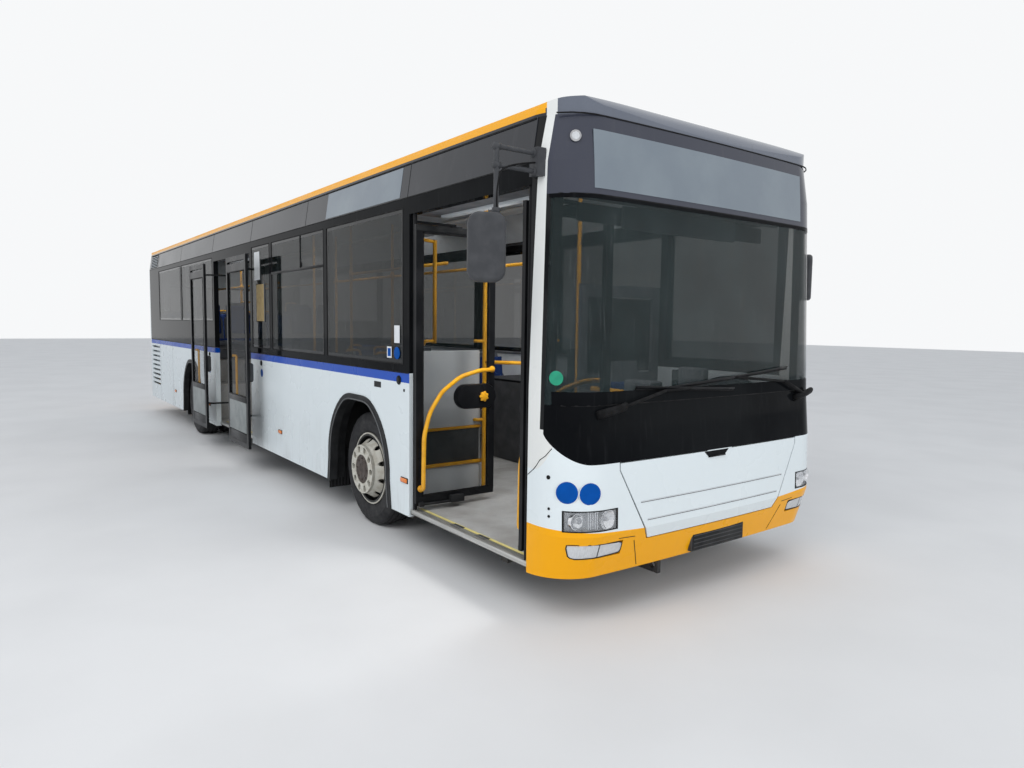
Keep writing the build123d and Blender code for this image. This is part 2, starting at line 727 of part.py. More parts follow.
def knuckle():
    """The right knuckle: a fork about the kingpin, with the spindle outboard."""
    x = FRONT_AXLE_X
    pin = -KINGPIN_Y
    low = TYRE_R - BOSS_HALF - FIT
    high = TYRE_R + BOSS_HALF + FIT
    web_in = pin - WEB_GAP
    web_out = web_in - WEB_T
    piece = rod((x, pin, low - LUG_T), (x, pin, high + LUG_T), KINGPIN_R)
    for z0, z1 in ((low - LUG_T, low), (high, high + LUG_T)):
        piece = piece + rod((x, pin, z0), (x, pin, z1), BOSS_R)
        piece = piece + block(x - 40, x + 40, pin, web_out, z0, z1)
    piece = piece + block(x - 40, x + 40, web_in, web_out, low - LUG_T, high + LUG_T)
    piece = piece + rod((x, web_out, TYRE_R), (x, -FRONT_TRACK_HALF - SPINDLE_END, TYRE_R), SPINDLE_R)
    return piece


def rear_axle():
    x = REAR_AXLE_X
    spindle_end = REAR_DUAL_Y + REAR_SPINDLE_END
    tube = rod((x, -AXLE_HALF, TYRE_R), (x, AXLE_HALF, TYRE_R), AXLE_R)
    tube = tube + rod((x, -DIFF_HALF, TYRE_R), (x, DIFF_HALF, TYRE_R), DIFF_R)
    tube = tube + rod((x, -spindle_end, TYRE_R), (x, spindle_end, TYRE_R), REAR_SPINDLE_R)
    arm_end = SPRING_X + REAR_SPINDLE_R
    low, high = SPRING_ARM_Z
    for side in (-1, 1):
        y = side * SPRING_Y
        tube = tube + block(x - arm_end, x + arm_end, y - SPRING_ARM_W / 2, y + SPRING_ARM_W / 2, low, high)
        for along in (-SPRING_X, SPRING_X):
            tube = tube + rod((x + along, y, high - 10), (x + along, y, HIGH_RAIL_Z[0]), SPRING_R)
    keep("rear_axle", tube)


def engine():
    x0 = ENGINE_REAR_X
    x1 = ENGINE_FRONT_X
    half = RAIL_Y - RAIL_W / 2
    body = block(x0, x1, ENGINE_SIDE_GAP - half, half - ENGINE_SIDE_GAP, *ENGINE_Z)
    for x in (x0 + ENGINE_FOOT_IN, x1 - ENGINE_FOOT_IN - ENGINE_FOOT_L):
        body = body + block(x, x + ENGINE_FOOT_L, -half, half, *ENGINE_FOOT_Z)
    keep("engine", body)


# Wheels

TREAD_CROWN = 4
TREAD_EDGE = 36
SHOULDER_SET = 18
SHOULDER_R = TYRE_R - 27
BULGE_R = TYRE_R - 94
BEAD_LIP = 6
HUB_R = 135
DISC_T = 12
DISC_IN_R = HUB_R - 60
DISC_FLAT_R = 205
DISC_END_R = RIM_R - RIM_WALL + 2
FRONT_FACE = 172
REAR_FACE = DISC_T - DUAL_HALF
HAND_HOLES = 10

# Discs from the hub out to the rim: radius, and the outer face's distance outboard of the wheel's middle
FRONT_DISC = (
    (DISC_IN_R, FRONT_FACE),
    (DISC_FLAT_R, FRONT_FACE),
    (222, FRONT_FACE - 30),
    (250, FRONT_FACE - 70),
    (DISC_END_R, FRONT_FACE - 100),
)
REAR_DISC = (
    (DISC_IN_R, REAR_FACE),
    (DISC_FLAT_R, REAR_FACE),
    (DISC_END_R, REAR_FACE + 45),
)

# Hand holes: radius of their circle, and radius of each
FRONT_HOLES = (238, 21)
REAR_HOLES = (240, 28)


def tyre(x, y):
    """A tyre with its bead on the rim, turned about the wheel's axis."""
    half = TYRE_W / 2
    bead = FLANGE_HALF - FIT
    seat = RIM_R + FIT
    z = TYRE_R
    lip = z + FLANGE_R + BEAD_LIP
    crown = z + TYRE_R - TREAD_CROWN
    tread = half - TREAD_EDGE
    wire = outline(
        (x, y - bead, z + seat),
        ((x, y - bead, lip),),
        ((x, y - half, z + BULGE_R), (x, y - half + SHOULDER_SET, z + SHOULDER_R)),
        ((x, y - tread, crown),),
        ((x, y, z + TYRE_R), (x, y + tread, crown)),
        ((x, y + half - SHOULDER_SET, z + SHOULDER_R),),
        ((x, y + half, z + BULGE_R), (x, y + bead, lip)),
        ((x, y + bead, z + seat),),
        ((x, y - bead, z + seat),),
    )
    return Solid.revolve(Face(wire), 360, Axis((x, y, z), (0, 1, 0)))


def rim(x, y, disc_rows, holes, out):
    """A rim with its disc and hand holes; out is -1 on the right side."""
    half = FLANGE_HALF + 10
    inner = RIM_R - RIM_WALL
    points = [
        (FLANGE_R, -half), (FLANGE_R, -FLANGE_HALF), (RIM_R, -FLANGE_HALF),
        (RIM_R, FLANGE_HALF), (FLANGE_R, FLANGE_HALF), (FLANGE_R, half),
        (inner, half), (inner, -half),
    ]
    barrel = spun([(r, out * along) for r, along in points], x, y, TYRE_R)
    disc_points = [(r, out * along) for r, along in disc_rows]
    disc_points += [(r, out * (along - DISC_T)) for r, along in reversed(disc_rows)]
    disc = spun(disc_points, x, y, TYRE_R)
    face = disc_rows[0][1]
    circle_r, hole_r = holes
    for i in range(HAND_HOLES):
        turn = radians(360 / HAND_HOLES * (i + 0.5))
        hx = x + circle_r * cos(turn)
        hz = TYRE_R + circle_r * sin(turn)
        disc = disc - rod((hx, y + out * (face - 150), hz), (hx, y + out * (face + 150), hz), hole_r)
    return barrel + disc


HUB_IN = 30
HUB_CAP = 20
REAR_HUB_Y = (REAR_DUAL_Y - 110, REAR_DUAL_Y + 160)


def front_wheel():
    """Right front wheel: tyre, and rim with its hub bored for the spindle."""
    x = FRONT_AXLE_X
    y = -FRONT_TRACK_HALF
    wheel = rim(x, y, FRONT_DISC, FRONT_HOLES, -1)
    wheel = wheel + rod((x, y + HUB_IN, TYRE_R), (x, y - FRONT_FACE - HUB_CAP, TYRE_R), HUB_R)
    bore_end = y - SPINDLE_END - 6
    wheel = wheel - rod((x, y + 2 * HUB_IN, TYRE_R), (x, bore_end, TYRE_R), SPINDLE_R + FIT)
    return tyre(x, y), wheel


def rear_wheel():
    """Right rear twin wheels: two tyres, and two rims on one hub bored for the axle end."""
    x = REAR_AXLE_X
    outer_y = -REAR_DUAL_Y - DUAL_HALF
    inner_y = -REAR_DUAL_Y + DUAL_HALF
    outer = rim(x, outer_y, REAR_DISC, REAR_HOLES, -1)
    inner = rim(x, inner_y, REAR_DISC, REAR_HOLES, 1)
    hub_in, hub_out = REAR_HUB_Y
    hub = rod((x, -hub_in, TYRE_R), (x, -hub_out, TYRE_R), HUB_R)
    wheel = outer + inner + hub
    bore_end = -REAR_DUAL_Y - REAR_SPINDLE_END - 10
    wheel = wheel - rod((x, -hub_in + 40, TYRE_R), (x, bore_end, TYRE_R), REAR_SPINDLE_R + FIT)
    return (tyre(x, outer_y), tyre(x, inner_y)), wheel


def running_gear():
    front_axle()
    rear_axle()
    engine()
    piece = knuckle()
    keep("knuckle_right", piece)
    keep("knuckle_left", mirrored(piece))
    rubber, metal = front_wheel()
    keep("front_tyre_right", rubber)
    keep("front_tyre_left", mirrored(rubber))
    keep("front_rim_right", metal)
    keep("front_rim_left", mirrored(metal))
    rubbers, metal = rear_wheel()
    keep("rear_tyres_right", *rubbers)
    keep("rear_tyres_left", *(mirrored(r) for r in rubbers))
    keep("rear_rims_right", metal)
    keep("rear_rims_left", mirrored(metal))


# Doors

LEAF_T = 30
LEAF_RIM = 55
DOOR_GLASS_T = 6
LEAF_GAP = 5
COLUMN_R = 15
ARM_W = 30
ARM_T = 20
PIN_R = 8
EYE_R = 17

# Front door: leaves that swing inward, shown open
F_COLUMN_IN = 35
F_COLUMN_Y = HALF - 28
F_RECESS = 37
F_LEAF_EDGE = 20
F_LEAF_LOW_Z = 400
F_LEAF_TOP_Z = DOOR_TOP_Z - 75
F_ARM_REACH = (FRONT_DOOR_W / 2 - LEAF_GAP - F_COLUMN_IN - F_LEAF_EDGE) / 2


def leaf_panel(length, low, high):
    """A leaf frame and its pane, along +X from 0, its mid plane at Y 0."""
    half = LEAF_T / 2
    frame = block(0, length, -half, half, low, high)
    frame = frame - block(LEAF_RIM, length - LEAF_RIM, -half, half, low + LEAF_RIM, high - LEAF_RIM)
    glass = block(LEAF_RIM, length - LEAF_RIM, -DOOR_GLASS_T / 2, DOOR_GLASS_T / 2,
                  low + LEAF_RIM, high - LEAF_RIM)
    return frame, glass


def front_leaf():
    """The rear leaf of the front door, open at 90 degrees, with its column and arms."""
    jamb = FRONT_DOOR_X - FRONT_DOOR_W / 2
    cx = jamb + F_COLUMN_IN
    cy = -F_COLUMN_Y
    mid_x = cx + F_RECESS
    length = 2 * F_ARM_REACH + 2 * F_LEAF_EDGE
    frame, glass = leaf_panel(length, F_LEAF_LOW_Z, F_LEAF_TOP_Z)
    place = Pos(mid_x, cy - F_LEAF_EDGE, 0) * Rot(0, 0, 90)
    frame = place * frame
    glass = place * glass
    pivot = (cx, cy + F_ARM_REACH)
    column = rod((cx, cy, FLOOR_Z + FIT), (cx, cy, DOOR_TOP_Z - FIT), COLUMN_R)
    levels = ((F_LEAF_TOP_Z, 1), (F_LEAF_LOW_Z, -1))
    for edge, up in levels:
        plate_t = 8
        z_plate = edge + up * plate_t
        z_arm = z_plate + up * FIT
        z_end = z_arm + up * ARM_T
        plate = block(pivot[0] - EYE_R, mid_x + LEAF_T / 2, pivot[1] - 40, pivot[1] + 40, edge, z_plate)
        pin = rod((*pivot, edge), (*pivot, z_end), PIN_R)
        frame = frame + plate + pin
        arm = block(cx - ARM_W / 2, cx + ARM_W / 2, cy, pivot[1], z_arm, z_end)
        arm = arm + rod((*pivot, z_arm), (*pivot, z_end), EYE_R)
        arm = arm - rod((*pivot, z_arm), (*pivot, z_end), PIN_R + FIT)
        column = column + arm
    return frame, glass, column


# Middle door: leaves that swing outward and stay parallel to the side, shown open
M_COLUMN_Y = 1075
M_LEAF_W = 770
M_PIVOT_IN = 50
M_CLOSED_OUT = M_LEAF_W / 2 + LEAF_GAP
M_CLOSED_Y = HALF - 25
M_OPEN_OUT = 915
M_OPEN_Y = M_CLOSED_Y + 200
M_LEAF_LOW_Z = 300
M_LEAF_TOP_Z = DOOR_TOP_Z - 55
M_ARMS = (M_LEAF_LOW_Z + 300, M_LEAF_TOP_Z - 125)
M_KNEE_SHARE = 0.6
M_KNEE_BULGE = 90

# The column stands where the pivot's closed and open places are equally far away
M_RISE = (M_OPEN_Y - M_PIVOT_IN - M_COLUMN_Y) ** 2 - (M_CLOSED_Y - M_PIVOT_IN - M_COLUMN_Y) ** 2
M_COLUMN_OUT = (M_OPEN_OUT ** 2 - M_CLOSED_OUT ** 2 + M_RISE) / (2 * (M_OPEN_OUT - M_CLOSED_OUT))


def mid_leaf():
    """The front leaf of the middle door, open, with its column and cranked arms."""
    cx = MID_DOOR_X + M_COLUMN_OUT
    cy = -M_COLUMN_Y
    leaf_x = MID_DOOR_X + M_OPEN_OUT
    leaf_y = -M_OPEN_Y
    pivot = Vector(leaf_x, leaf_y + M_PIVOT_IN)
    frame, glass = leaf_panel(M_LEAF_W, M_LEAF_LOW_Z, M_LEAF_TOP_Z)
    place = Pos(leaf_x - M_LEAF_W / 2, leaf_y, 0)
    frame = place * frame
    glass = place * glass
    start = Vector(cx, cy)
    along = pivot - start
    across = Vector(along.Y, -along.X).normalized()
    knee = start + along * M_KNEE_SHARE + across * M_KNEE_BULGE
    column = rod((cx, cy, FLOOR_Z + FIT), (cx, cy, DOOR_TOP_Z - FIT), COLUMN_R + 5)
    for z in M_ARMS:
        z0 = z - ARM_T / 2
        z1 = z + ARM_T / 2
        arm = rod((start.X, start.Y, z0), (start.X, start.Y, z1), COLUMN_R + 10)
        for a, b in ((start, knee), (knee, pivot)):
            arm = arm + link(a, b, z0, z1)
        arm = arm + rod((pivot.X, pivot.Y, z0), (pivot.X, pivot.Y, z1), EYE_R)
        arm = arm - rod((pivot.X, pivot.Y, z0), (pivot.X, pivot.Y, z1), PIN_R + FIT)
        column = column + arm
        lug_z = z1 + FIT
        lug = block(pivot.X - EYE_R, pivot.X + EYE_R, leaf_y + LEAF_T / 2, pivot.Y, lug_z, lug_z + 12)
        lug = lug + rod((pivot.X, pivot.Y, lug_z), (pivot.X, pivot.Y, lug_z + 12), EYE_R)
        lug = lug + rod((pivot.X, pivot.Y, z0), (pivot.X, pivot.Y, lug_z), PIN_R)
        rail = block(leaf_x - M_LEAF_W / 2 + 10, leaf_x + M_LEAF_W / 2 - 10, leaf_y - LEAF_T / 2,
                     leaf_y + LEAF_T / 2, z - 45, z + 45)
        frame = frame + rail + lug
        glass = glass - rail
    return frame, glass, column


def link(a, b, z0, z1):
    """A flat bar with round ends between two plan points."""
    run = b - a
    side = Vector(-run.Y, run.X).normalized() * (ARM_W / 2)
    corners = [a + side, b + side, b - side, a - side]
    bar = prism([(p.X, p.Y, z0) for p in corners], (0, 0, z1 - z0))
    for p in (a, b):
        bar = bar + rod((p.X, p.Y, z0), (p.X, p.Y, z1), ARM_W / 2)
    return bar


HEADER_Y = (1000, INNER_HALF)


def door_headers():
    """Covers over the door drives, above both doorways."""
    for centre, width in ((FRONT_DOOR_X, FRONT_DOOR_W), (MID_DOOR_X, MID_DOOR_W)):
        keep("door_headers", block(centre - width / 2, centre + width / 2, -HEADER_Y[1], -HEADER_Y[0],
                                   DOOR_TOP_Z, BAND_TOP_Z))


def across_door(shape, centre_x):
    """The other leaf of a doorway."""
    return mirror(shape, about=Plane(origin=(centre_x, 0, 0), z_dir=(1, 0, 0)))


def doors():
    names = ("leaf", "glass", "column")
    for name, shape in zip(names, front_leaf()):
        keep("front_door_" + name + "_aft", shape)
        keep("front_door_" + name + "_fore", across_door(shape, FRONT_DOOR_X))
    for name, shape in zip(names, mid_leaf()):
        keep("middle_door_" + name + "_fore", shape)
        keep("middle_door_" + name + "_aft", across_door(shape, MID_DOOR_X))


# Cabin

SEAT_W = 440
SEAT_T = 70
SEAT_D = 470
CUSHION_H = 440
BOX_CUSHION_H = 260
BACK_H = 590
PAIR_Y = 730
SEAT_PITCH = 770
LEG_ROOM = 590


def seat_rows():
    """Rear face of the backrest, place across, foot, cushion height and width of each seat unit."""
    first = FRONT_AXLE_X - BOX_HALF - BOX_T - LEG_ROOM
    over_rear = REAR_AXLE_X - SEAT_D / 2
    last = REAR_JOINT_X + MEMBER_CLEAR
    pair = 2 * SEAT_W
    rows = [(last, 0, RAISED_Z, CUSHION_H, 2 * INNER_HALF - MEMBER_CLEAR)]
    for side, count in ((-1, 2), (1, 4)):
        for i in range(count):
            rows.append((first - SEAT_PITCH * i, side * PAIR_Y, FLOOR_Z, CUSHION_H, pair))
        for i in (1, 2):
            rows.append((last + SEAT_PITCH * i, side * PAIR_Y, RAISED_Z, CUSHION_H, pair))
        rows.append((over_rear, side * PAIR_Y, ARCH_TOP_Z + BOX_T, BOX_CUSHION_H, pair))
    return rows


def seat(back_x, y, foot, cushion, width):
    """A seat facing forward: leg, cushion and backrest in one solid."""
    y0 = y - width / 2
    y1 = y + width / 2
    top = foot + cushion
    cushion_box = block(back_x + 20, back_x + SEAT_D, y0, y1, top - SEAT_T, top)
    back = prism(
        [
            (back_x + 100, y0, top - SEAT_T), (back_x + 160, y0, top), (back_x + 60, y0, top + BACK_H),
            (back_x, y0, top + BACK_H), (back_x + 20, y0, top - SEAT_T),
        ],
        (0, y1 - y0, 0),
    )
    leg = block(back_x + 130, back_x + 330, y - 90, y + 90, foot, top - SEAT_T)
    return cushion_box + back + leg


DRIVER_X = NOSE_X - 1050
DRIVER_Y = 640
DRIVER_SEAT_W = 500
DRIVER_CUSHION_H = 480


def seats():
    for row in seat_rows():
        keep("seats", seat(*row))
    keep("seats", seat(DRIVER_X, DRIVER_Y, FLOOR_Z, DRIVER_CUSHION_H, DRIVER_SEAT_W))


CAB_REAR_X = NOSE_X - 1260
CAB_SIDE_Y = 230
CAB_T = 30
CAB_TOP_Z = DOOR_TOP_Z - 430
CAB_FRAME = 90
CAB_PANE_Z = (1300, CAB_TOP_Z - 100)
DASH_TOP_Z = 1180
DASH_BACK_X = NOSE_X - 130
STEER_R = 235
STEER_TUBE_R = 15
STEER_TILT = 35
STEER_HUB_R = 45
STEER_HUB_H = 60
STEER_SPOKE = (34, 16)
STEER_COLUMN_R = 32
STEER_COLUMN_L = 470
STEER_X = DASH_BACK_X - 250
STEER_Z = 1120


def driver_cab():
    """Cab partition, side panel and dashboard, joined in one piece."""
    rear = block(CAB_REAR_X, CAB_REAR_X + CAB_T, CAB_SIDE_Y, INNER_HALF, FLOOR_Z, CAB_TOP_Z)
    window = block(CAB_REAR_X, CAB_REAR_X + CAB_T, CAB_SIDE_Y + CAB_FRAME, INNER_HALF - CAB_FRAME,
                   *CAB_PANE_Z)
    side = block(CAB_REAR_X, DASH_BACK_X + 40, CAB_SIDE_Y, CAB_SIDE_Y + CAB_T, FLOOR_Z, DASH_TOP_Z)
    dash = front_slab(DASH_BACK_X, CAB_SIDE_Y, INNER_HALF, FLOOR_Z, DASH_TOP_Z)
    shelf = block(NOSE_X + 20, FLOOR_FRONT_X, -FLAP_TOP_HALF, CAB_SIDE_Y, FLOOR_Z, DASH_TOP_Z)
    keep("driver_cab", (rear - window) + side + dash + shelf)


def steering_wheel():
    """Steering wheel with its column, tilted towards the driver."""
    tilt = radians(STEER_TILT)
    axis = Vector(-sin(tilt), 0, cos(tilt))
    centre = Vector(STEER_X, DRIVER_Y, STEER_Z)
    plane = Plane(origin=centre, x_dir=(cos(tilt), 0, sin(tilt)), z_dir=axis)
    ring = plane * Torus(STEER_R - STEER_TUBE_R, STEER_TUBE_R)
    hub = rod(tuple(centre - axis * STEER_HUB_H), tuple(centre), STEER_HUB_R)
    wheel = ring + hub
    for turn in (90, 210, 330):
        spoke = plane * Rot(0, 0, turn) * Pos((STEER_R - STEER_TUBE_R) / 2, 0, -12)
        wheel = wheel + spoke * Box(STEER_R - STEER_TUBE_R, *STEER_SPOKE)
    keep("steering_wheel", wheel)
    top = centre - axis * (STEER_HUB_H + FIT)
    column = rod(tuple(top), tuple(centre - axis * STEER_COLUMN_L), STEER_COLUMN_R)
    dash = front_slab(DASH_BACK_X, CAB_SIDE_Y, INNER_HALF, FLOOR_Z, DASH_TOP_Z)
    keep("driver_cab", column - dash)


POLE_R = 17
POLE_GAP = 60
AHEAD_OF_WHEELS = FRONT_AXLE_X + BOX_HALF + BOX_T + POLE_GAP
BEHIND_WHEELS = FRONT_AXLE_X - BOX_HALF - BOX_T - 2 * POLE_GAP
SECOND_ROW = BEHIND_WHEELS - 2 * SEAT_PITCH
AHEAD_OF_MID_DOOR = MID_DOOR_X - MID_DOOR_W / 2 + 8 * POLE_GAP
BEHIND_REAR_WHEELS = REAR_AXLE_X - BOX_HALF - BOX_T - 4 * POLE_GAP

# Stanchions: place along the bus, across it, and the floor they stand on
POLES = (
    (AHEAD_OF_WHEELS, 280, FLOOR_Z),
    (AHEAD_OF_WHEELS, -460, FLOOR_Z),
    (BEHIND_WHEELS, -270, FLOOR_Z),
    (SECOND_ROW, -270, FLOOR_Z),
    (SECOND_ROW, 260, FLOOR_Z),
    (MID_DOOR_X, -180, FLOOR_Z),
    (AHEAD_OF_MID_DOOR, 260, FLOOR_Z),
    (BEHIND_REAR_WHEELS, -260, RAISED_Z),
    (BEHIND_REAR_WHEELS, 260, RAISED_Z),
)


def handrails():
    for x, y, foot in POLES:
        keep("handrails", rod((x, y, foot), (x, y, CEILING_Z), POLE_R))


# Outside fittings

MIRROR_X = FRONT_X - 330
LEFT_MIRROR_BACK = 120
MIRROR_Y = HALF + 334
MIRROR_W = 200
MIRROR_D = 110
MIRROR_TURN = 30
MIRROR_ROUND = 60
MIRROR_EDGE_R = 25
MIRROR_ARM_Z = (BAND_TOP_Z - 60, BAND_TOP_Z + 36)
MIRROR_ARM_Y = HALF + 275
MIRROR_ARM_R = 14
MIRROR_Z = (MIRROR_ARM_Z[0] - 610, MIRROR_ARM_Z[0] - 250)
BRACKET_HALF_X = 35
BRACKET_HALF_Y = 30
BRACKET_Z = (MIRROR_ARM_Z[0] - 25, MIRROR_ARM_Z[1] + 30)
WIPER_R = 9


def outside_mirror(x):
    """The right side's mirror: head, post, two arms and bracket."""
    head = block(-MIRROR_D / 2, MIRROR_D / 2, -MIRROR_W / 2, MIRROR_W / 2, *MIRROR_Z)
    head = fillet(head.edges().filter_by(Axis.X), MIRROR_ROUND)
    head = fillet(head.edges().group_by(Axis.X)[-1] + head.edges().group_by(Axis.X)[0], MIRROR_EDGE_R)
    head = Pos(x, -MIRROR_Y, 0) * Rot(0, 0, -MIRROR_TURN) * head
    post_top = MIRROR_ARM_Z[1] + MIRROR_ARM_R + 6
    arm = rod((x, -MIRROR_ARM_Y, MIRROR_Z[1] - 40), (x, -MIRROR_ARM_Y, post_top), MIRROR_ARM_R)
    for z in MIRROR_ARM_Z:
        arm = arm + rod((x, -HALF - BRACKET_HALF_Y + 10, z), (x, -MIRROR_ARM_Y, z), MIRROR_ARM_R - 1)
    low, high = BRACKET_Z
    bracket = block(x - BRACKET_HALF_X, x + BRACKET_HALF_X, -HALF - BRACKET_HALF_Y, -HALF + BRACKET_HALF_Y,
                    low, high)
    bracket = bracket - layer(low - 10, high + 10, -FIT)
    return head + arm + bracket


def mirrors():
    keep("mirrors", outside_mirror(MIRROR_X), mirrored(outside_mirror(MIRROR_X - LEFT_MIRROR_BACK)))


# Wipers: pivot, elbow and the blade's two ends, each as distance across and height
WIPERS = (
    ((-920, 1240), (-516, 1335), (-735, 1365), (146, 1320)),
    ((960, 1240), (640, 1350), (757, 1440), (-487, 1347)),
)


def front_point(y, z, proud):
    """A point ahead of the front at a place across the bus and a height."""
    front, rear, half = end_row(z)
    drop = BOW * (y / (half - CORNER_R)) ** 2
    return (front - drop + proud, y, z)


def wipers():
    for pivot, elbow, left, right in WIPERS:
        cap = rod(front_point(*pivot, -2), front_point(*pivot, 32), 24)
        cap = cap - layer(SCREEN_LOW_Z - 300, SCREEN_LOW_Z + 100, 0)
        mid = ((left[0] + right[0]) / 2, (left[1] + right[1]) / 2)
        arm = rod(front_point(*pivot, 24), front_point(*elbow, 30), WIPER_R)
        arm = arm + rod(front_point(*elbow, 30), front_point(*mid, 26), WIPER_R)
        blade = rod(front_point(*left, 14), front_point(*mid, 22), WIPER_R)
        blade = blade + rod(front_point(*mid, 22), front_point(*right, 14), WIPER_R)
        keep("wipers", cap + arm + blade)


def main():
    front_end()
    rear_end()
    side_walls()
    roof()
    floor()
    underframe()
    running_gear()
    doors()
    door_headers()
    seats()
    driver_cab()
    steering_wheel()
    handrails()
    mirrors()
    wipers()
    os.makedirs("parts", exist_ok=True)
    for name, solids in PARTS.items():
        export_step(Compound(solids), "parts/" + name + ".step")
    print(len(PARTS), "sub-parts")


main()
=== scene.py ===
import bmesh
import bpy
from math import cos, pi, radians, sin, sqrt
from mathutils import Matrix, Vector


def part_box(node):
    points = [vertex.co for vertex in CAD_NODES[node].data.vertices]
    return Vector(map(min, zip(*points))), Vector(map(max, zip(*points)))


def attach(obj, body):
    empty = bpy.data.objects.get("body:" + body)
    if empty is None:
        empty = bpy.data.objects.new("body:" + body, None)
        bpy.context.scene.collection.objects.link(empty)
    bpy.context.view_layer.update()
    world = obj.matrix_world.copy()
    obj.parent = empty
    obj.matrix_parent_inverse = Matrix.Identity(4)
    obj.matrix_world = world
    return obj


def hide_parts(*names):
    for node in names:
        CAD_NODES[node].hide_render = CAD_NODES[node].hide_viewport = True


# A city bus with its doors open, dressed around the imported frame.
# Metres. +X is forward, +Y is the left side, +Z is up.

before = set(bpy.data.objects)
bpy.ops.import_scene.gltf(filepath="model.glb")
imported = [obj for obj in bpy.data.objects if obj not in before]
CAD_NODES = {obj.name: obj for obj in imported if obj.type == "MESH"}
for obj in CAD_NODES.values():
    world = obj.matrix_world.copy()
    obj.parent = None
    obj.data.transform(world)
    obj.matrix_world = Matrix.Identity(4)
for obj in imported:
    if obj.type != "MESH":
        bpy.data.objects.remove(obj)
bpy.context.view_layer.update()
SIDES = (("right", -1), ("left", 1))


# Places taken from the frame

SIDE_Y = -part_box("side_right")[0].y
BELT_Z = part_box("side_right")[1].z
SKIRT_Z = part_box("side_right")[0].z
FRONT_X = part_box("front_flap")[1].x
REAR_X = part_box("rear_wall")[0].x
NOSE_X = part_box("front_bumper")[0].x
BAND_TOP_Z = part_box("window_band_right")[1].z
CANTRAIL_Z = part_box("cantrails")[1].z
CANTRAIL_LEAN = 0.037
CEILING_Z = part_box("roof")[0].z
CAP_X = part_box("roof_cap")[0].x
PILLAR_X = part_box("windscreen")[0].x - 0.024
SCREEN_LOW_Z = 1.270
SCREEN_TOP_Z = 2.420
FLOOR_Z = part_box("low_floor")[0].z + 0.04
SILL_FRONT = 1.238
SILL_MID = -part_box("low_floor")[0].y - 0.040
FRONT_DOOR_MID = 4.905
MIDDLE_DOOR_MID = -0.430


def centre(node):
    """The middle of a CAD node's box."""
    low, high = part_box(node)
    return (low + high) / 2


FRONT_AXLE_X = centre("front_tyre_right").x
REAR_AXLE_X = centre("rear_tyres_right").x
AXLE_Z = centre("front_tyre_right").z
TYRE_R = AXLE_Z


def islands(node):
    """The boxes of the separate solids in a CAD node, from rear to front."""
    mesh = CAD_NODES[node].data
    home = {}
    first = {}
    for i, vertex in enumerate(mesh.vertices):
        key = tuple(round(c, 4) for c in vertex.co)
        home[i] = first.setdefault(key, i)
    leader = {i: i for i in first.values()}

    def top(i):
        while leader[i] != i:
            leader[i] = leader[leader[i]]
            i = leader[i]
        return i

    for edge in mesh.edges:
        a, b = (top(home[i]) for i in edge.vertices)
        leader[a] = b
    groups = {}
    for i in leader:
        groups.setdefault(top(i), []).append(mesh.vertices[i].co)
    boxes = [[Vector([end(p[k] for p in points) for k in range(3)]) for end in (min, max)]
             for points in groups.values()]
    return sorted(boxes, key=lambda box: (round(box[0].x, 3), box[0].y))


# The front's curved surface, as in the frame: height, and how far it lies from the foremost point

FRONT_ROWS = (
    (0.285, -0.080), (0.540, 0.0), (0.945, -0.010), (1.270, -0.040),
    (2.420, -0.090), (2.600, -0.100), (2.850, -0.120),
)
BOW = 0.020
CORNER_R = 0.300
CORNER_Y = SIDE_Y - CORNER_R


def front_point(y, z, proud=0.0):
    """A point of the front at a place across the bus and a height, moved out by proud."""
    lean = FRONT_ROWS[0][1] if z < FRONT_ROWS[0][0] else FRONT_ROWS[-1][1]
    for (z0, a), (z1, b) in zip(FRONT_ROWS, FRONT_ROWS[1:]):
        if z0 <= z <= z1:
            lean = a + (b - a) * (z - z0) / (z1 - z0)
    side = 1 if y > 0 else -1
    out = abs(y) - CORNER_Y
    if out <= 0:
        return Vector((FRONT_X + lean - BOW * (y / CORNER_Y) ** 2 + proud, y, z))
    out = min(out, CORNER_R)
    run = sqrt(CORNER_R ** 2 - out ** 2)
    reach = 1 + proud / CORNER_R
    return Vector((FRONT_X + lean - BOW - CORNER_R + run * reach, side * (CORNER_Y + out * reach), z))


def out_of_front(y, z):
    """A matrix whose +Y points out of the front at a place."""
    out = (front_point(y, z, 0.01) - front_point(y, z)).normalized()
    return Matrix.Translation(front_point(y, z)) @ out.to_track_quat("Y", "Z").to_matrix().to_4x4()


# Outlines

def oblong(x0, x1, z0, z1):
    """The corners of a rectangle, from lower left anticlockwise."""
    return [(x0, z0), (x1, z0), (x1, z1), (x0, z1)]


def edges(x0, x1, z0, z1, width, lapped=False):
    """The rectangles of the four bars inside a rectangle's edges; lapped bars share its corners."""
    gap = 0 if lapped else width
    return ((x0, x1, z0, z0 + width), (x0, x1, z1 - width, z1),
            (x0, x0 + width, z0 + gap, z1 - gap), (x1 - width, x1, z0 + gap, z1 - gap))


# Forms: each returns a bmesh

# The radius at the middle of a turned form, where its profile starts and ends
CORE = 0.0005


def at(x, y, z):
    return Matrix.Translation((x, y, z))


def about(axis, degrees):
    return Matrix.Rotation(radians(degrees), 4, axis)


def moved(bm, matrix):
    """The form turned and moved by a matrix."""
    bmesh.ops.transform(bm, matrix=matrix, verts=bm.verts[:])
    return bm


def shifted(bm, x, y, z):
    return moved(bm, at(x, y, z))


def reversed_faces(bm):
    bmesh.ops.reverse_faces(bm, faces=bm.faces[:])
    return bm


def outward(bm):
    """The form with all its faces turned outwards."""
    bmesh.ops.recalc_face_normals(bm, faces=bm.faces[:])
    return bm


def merge(bm, form):
    """Copies a form into another."""
    mesh = bpy.data.meshes.new("form")
    form.to_mesh(mesh)
    bm.from_mesh(mesh)
    bpy.data.meshes.remove(mesh)


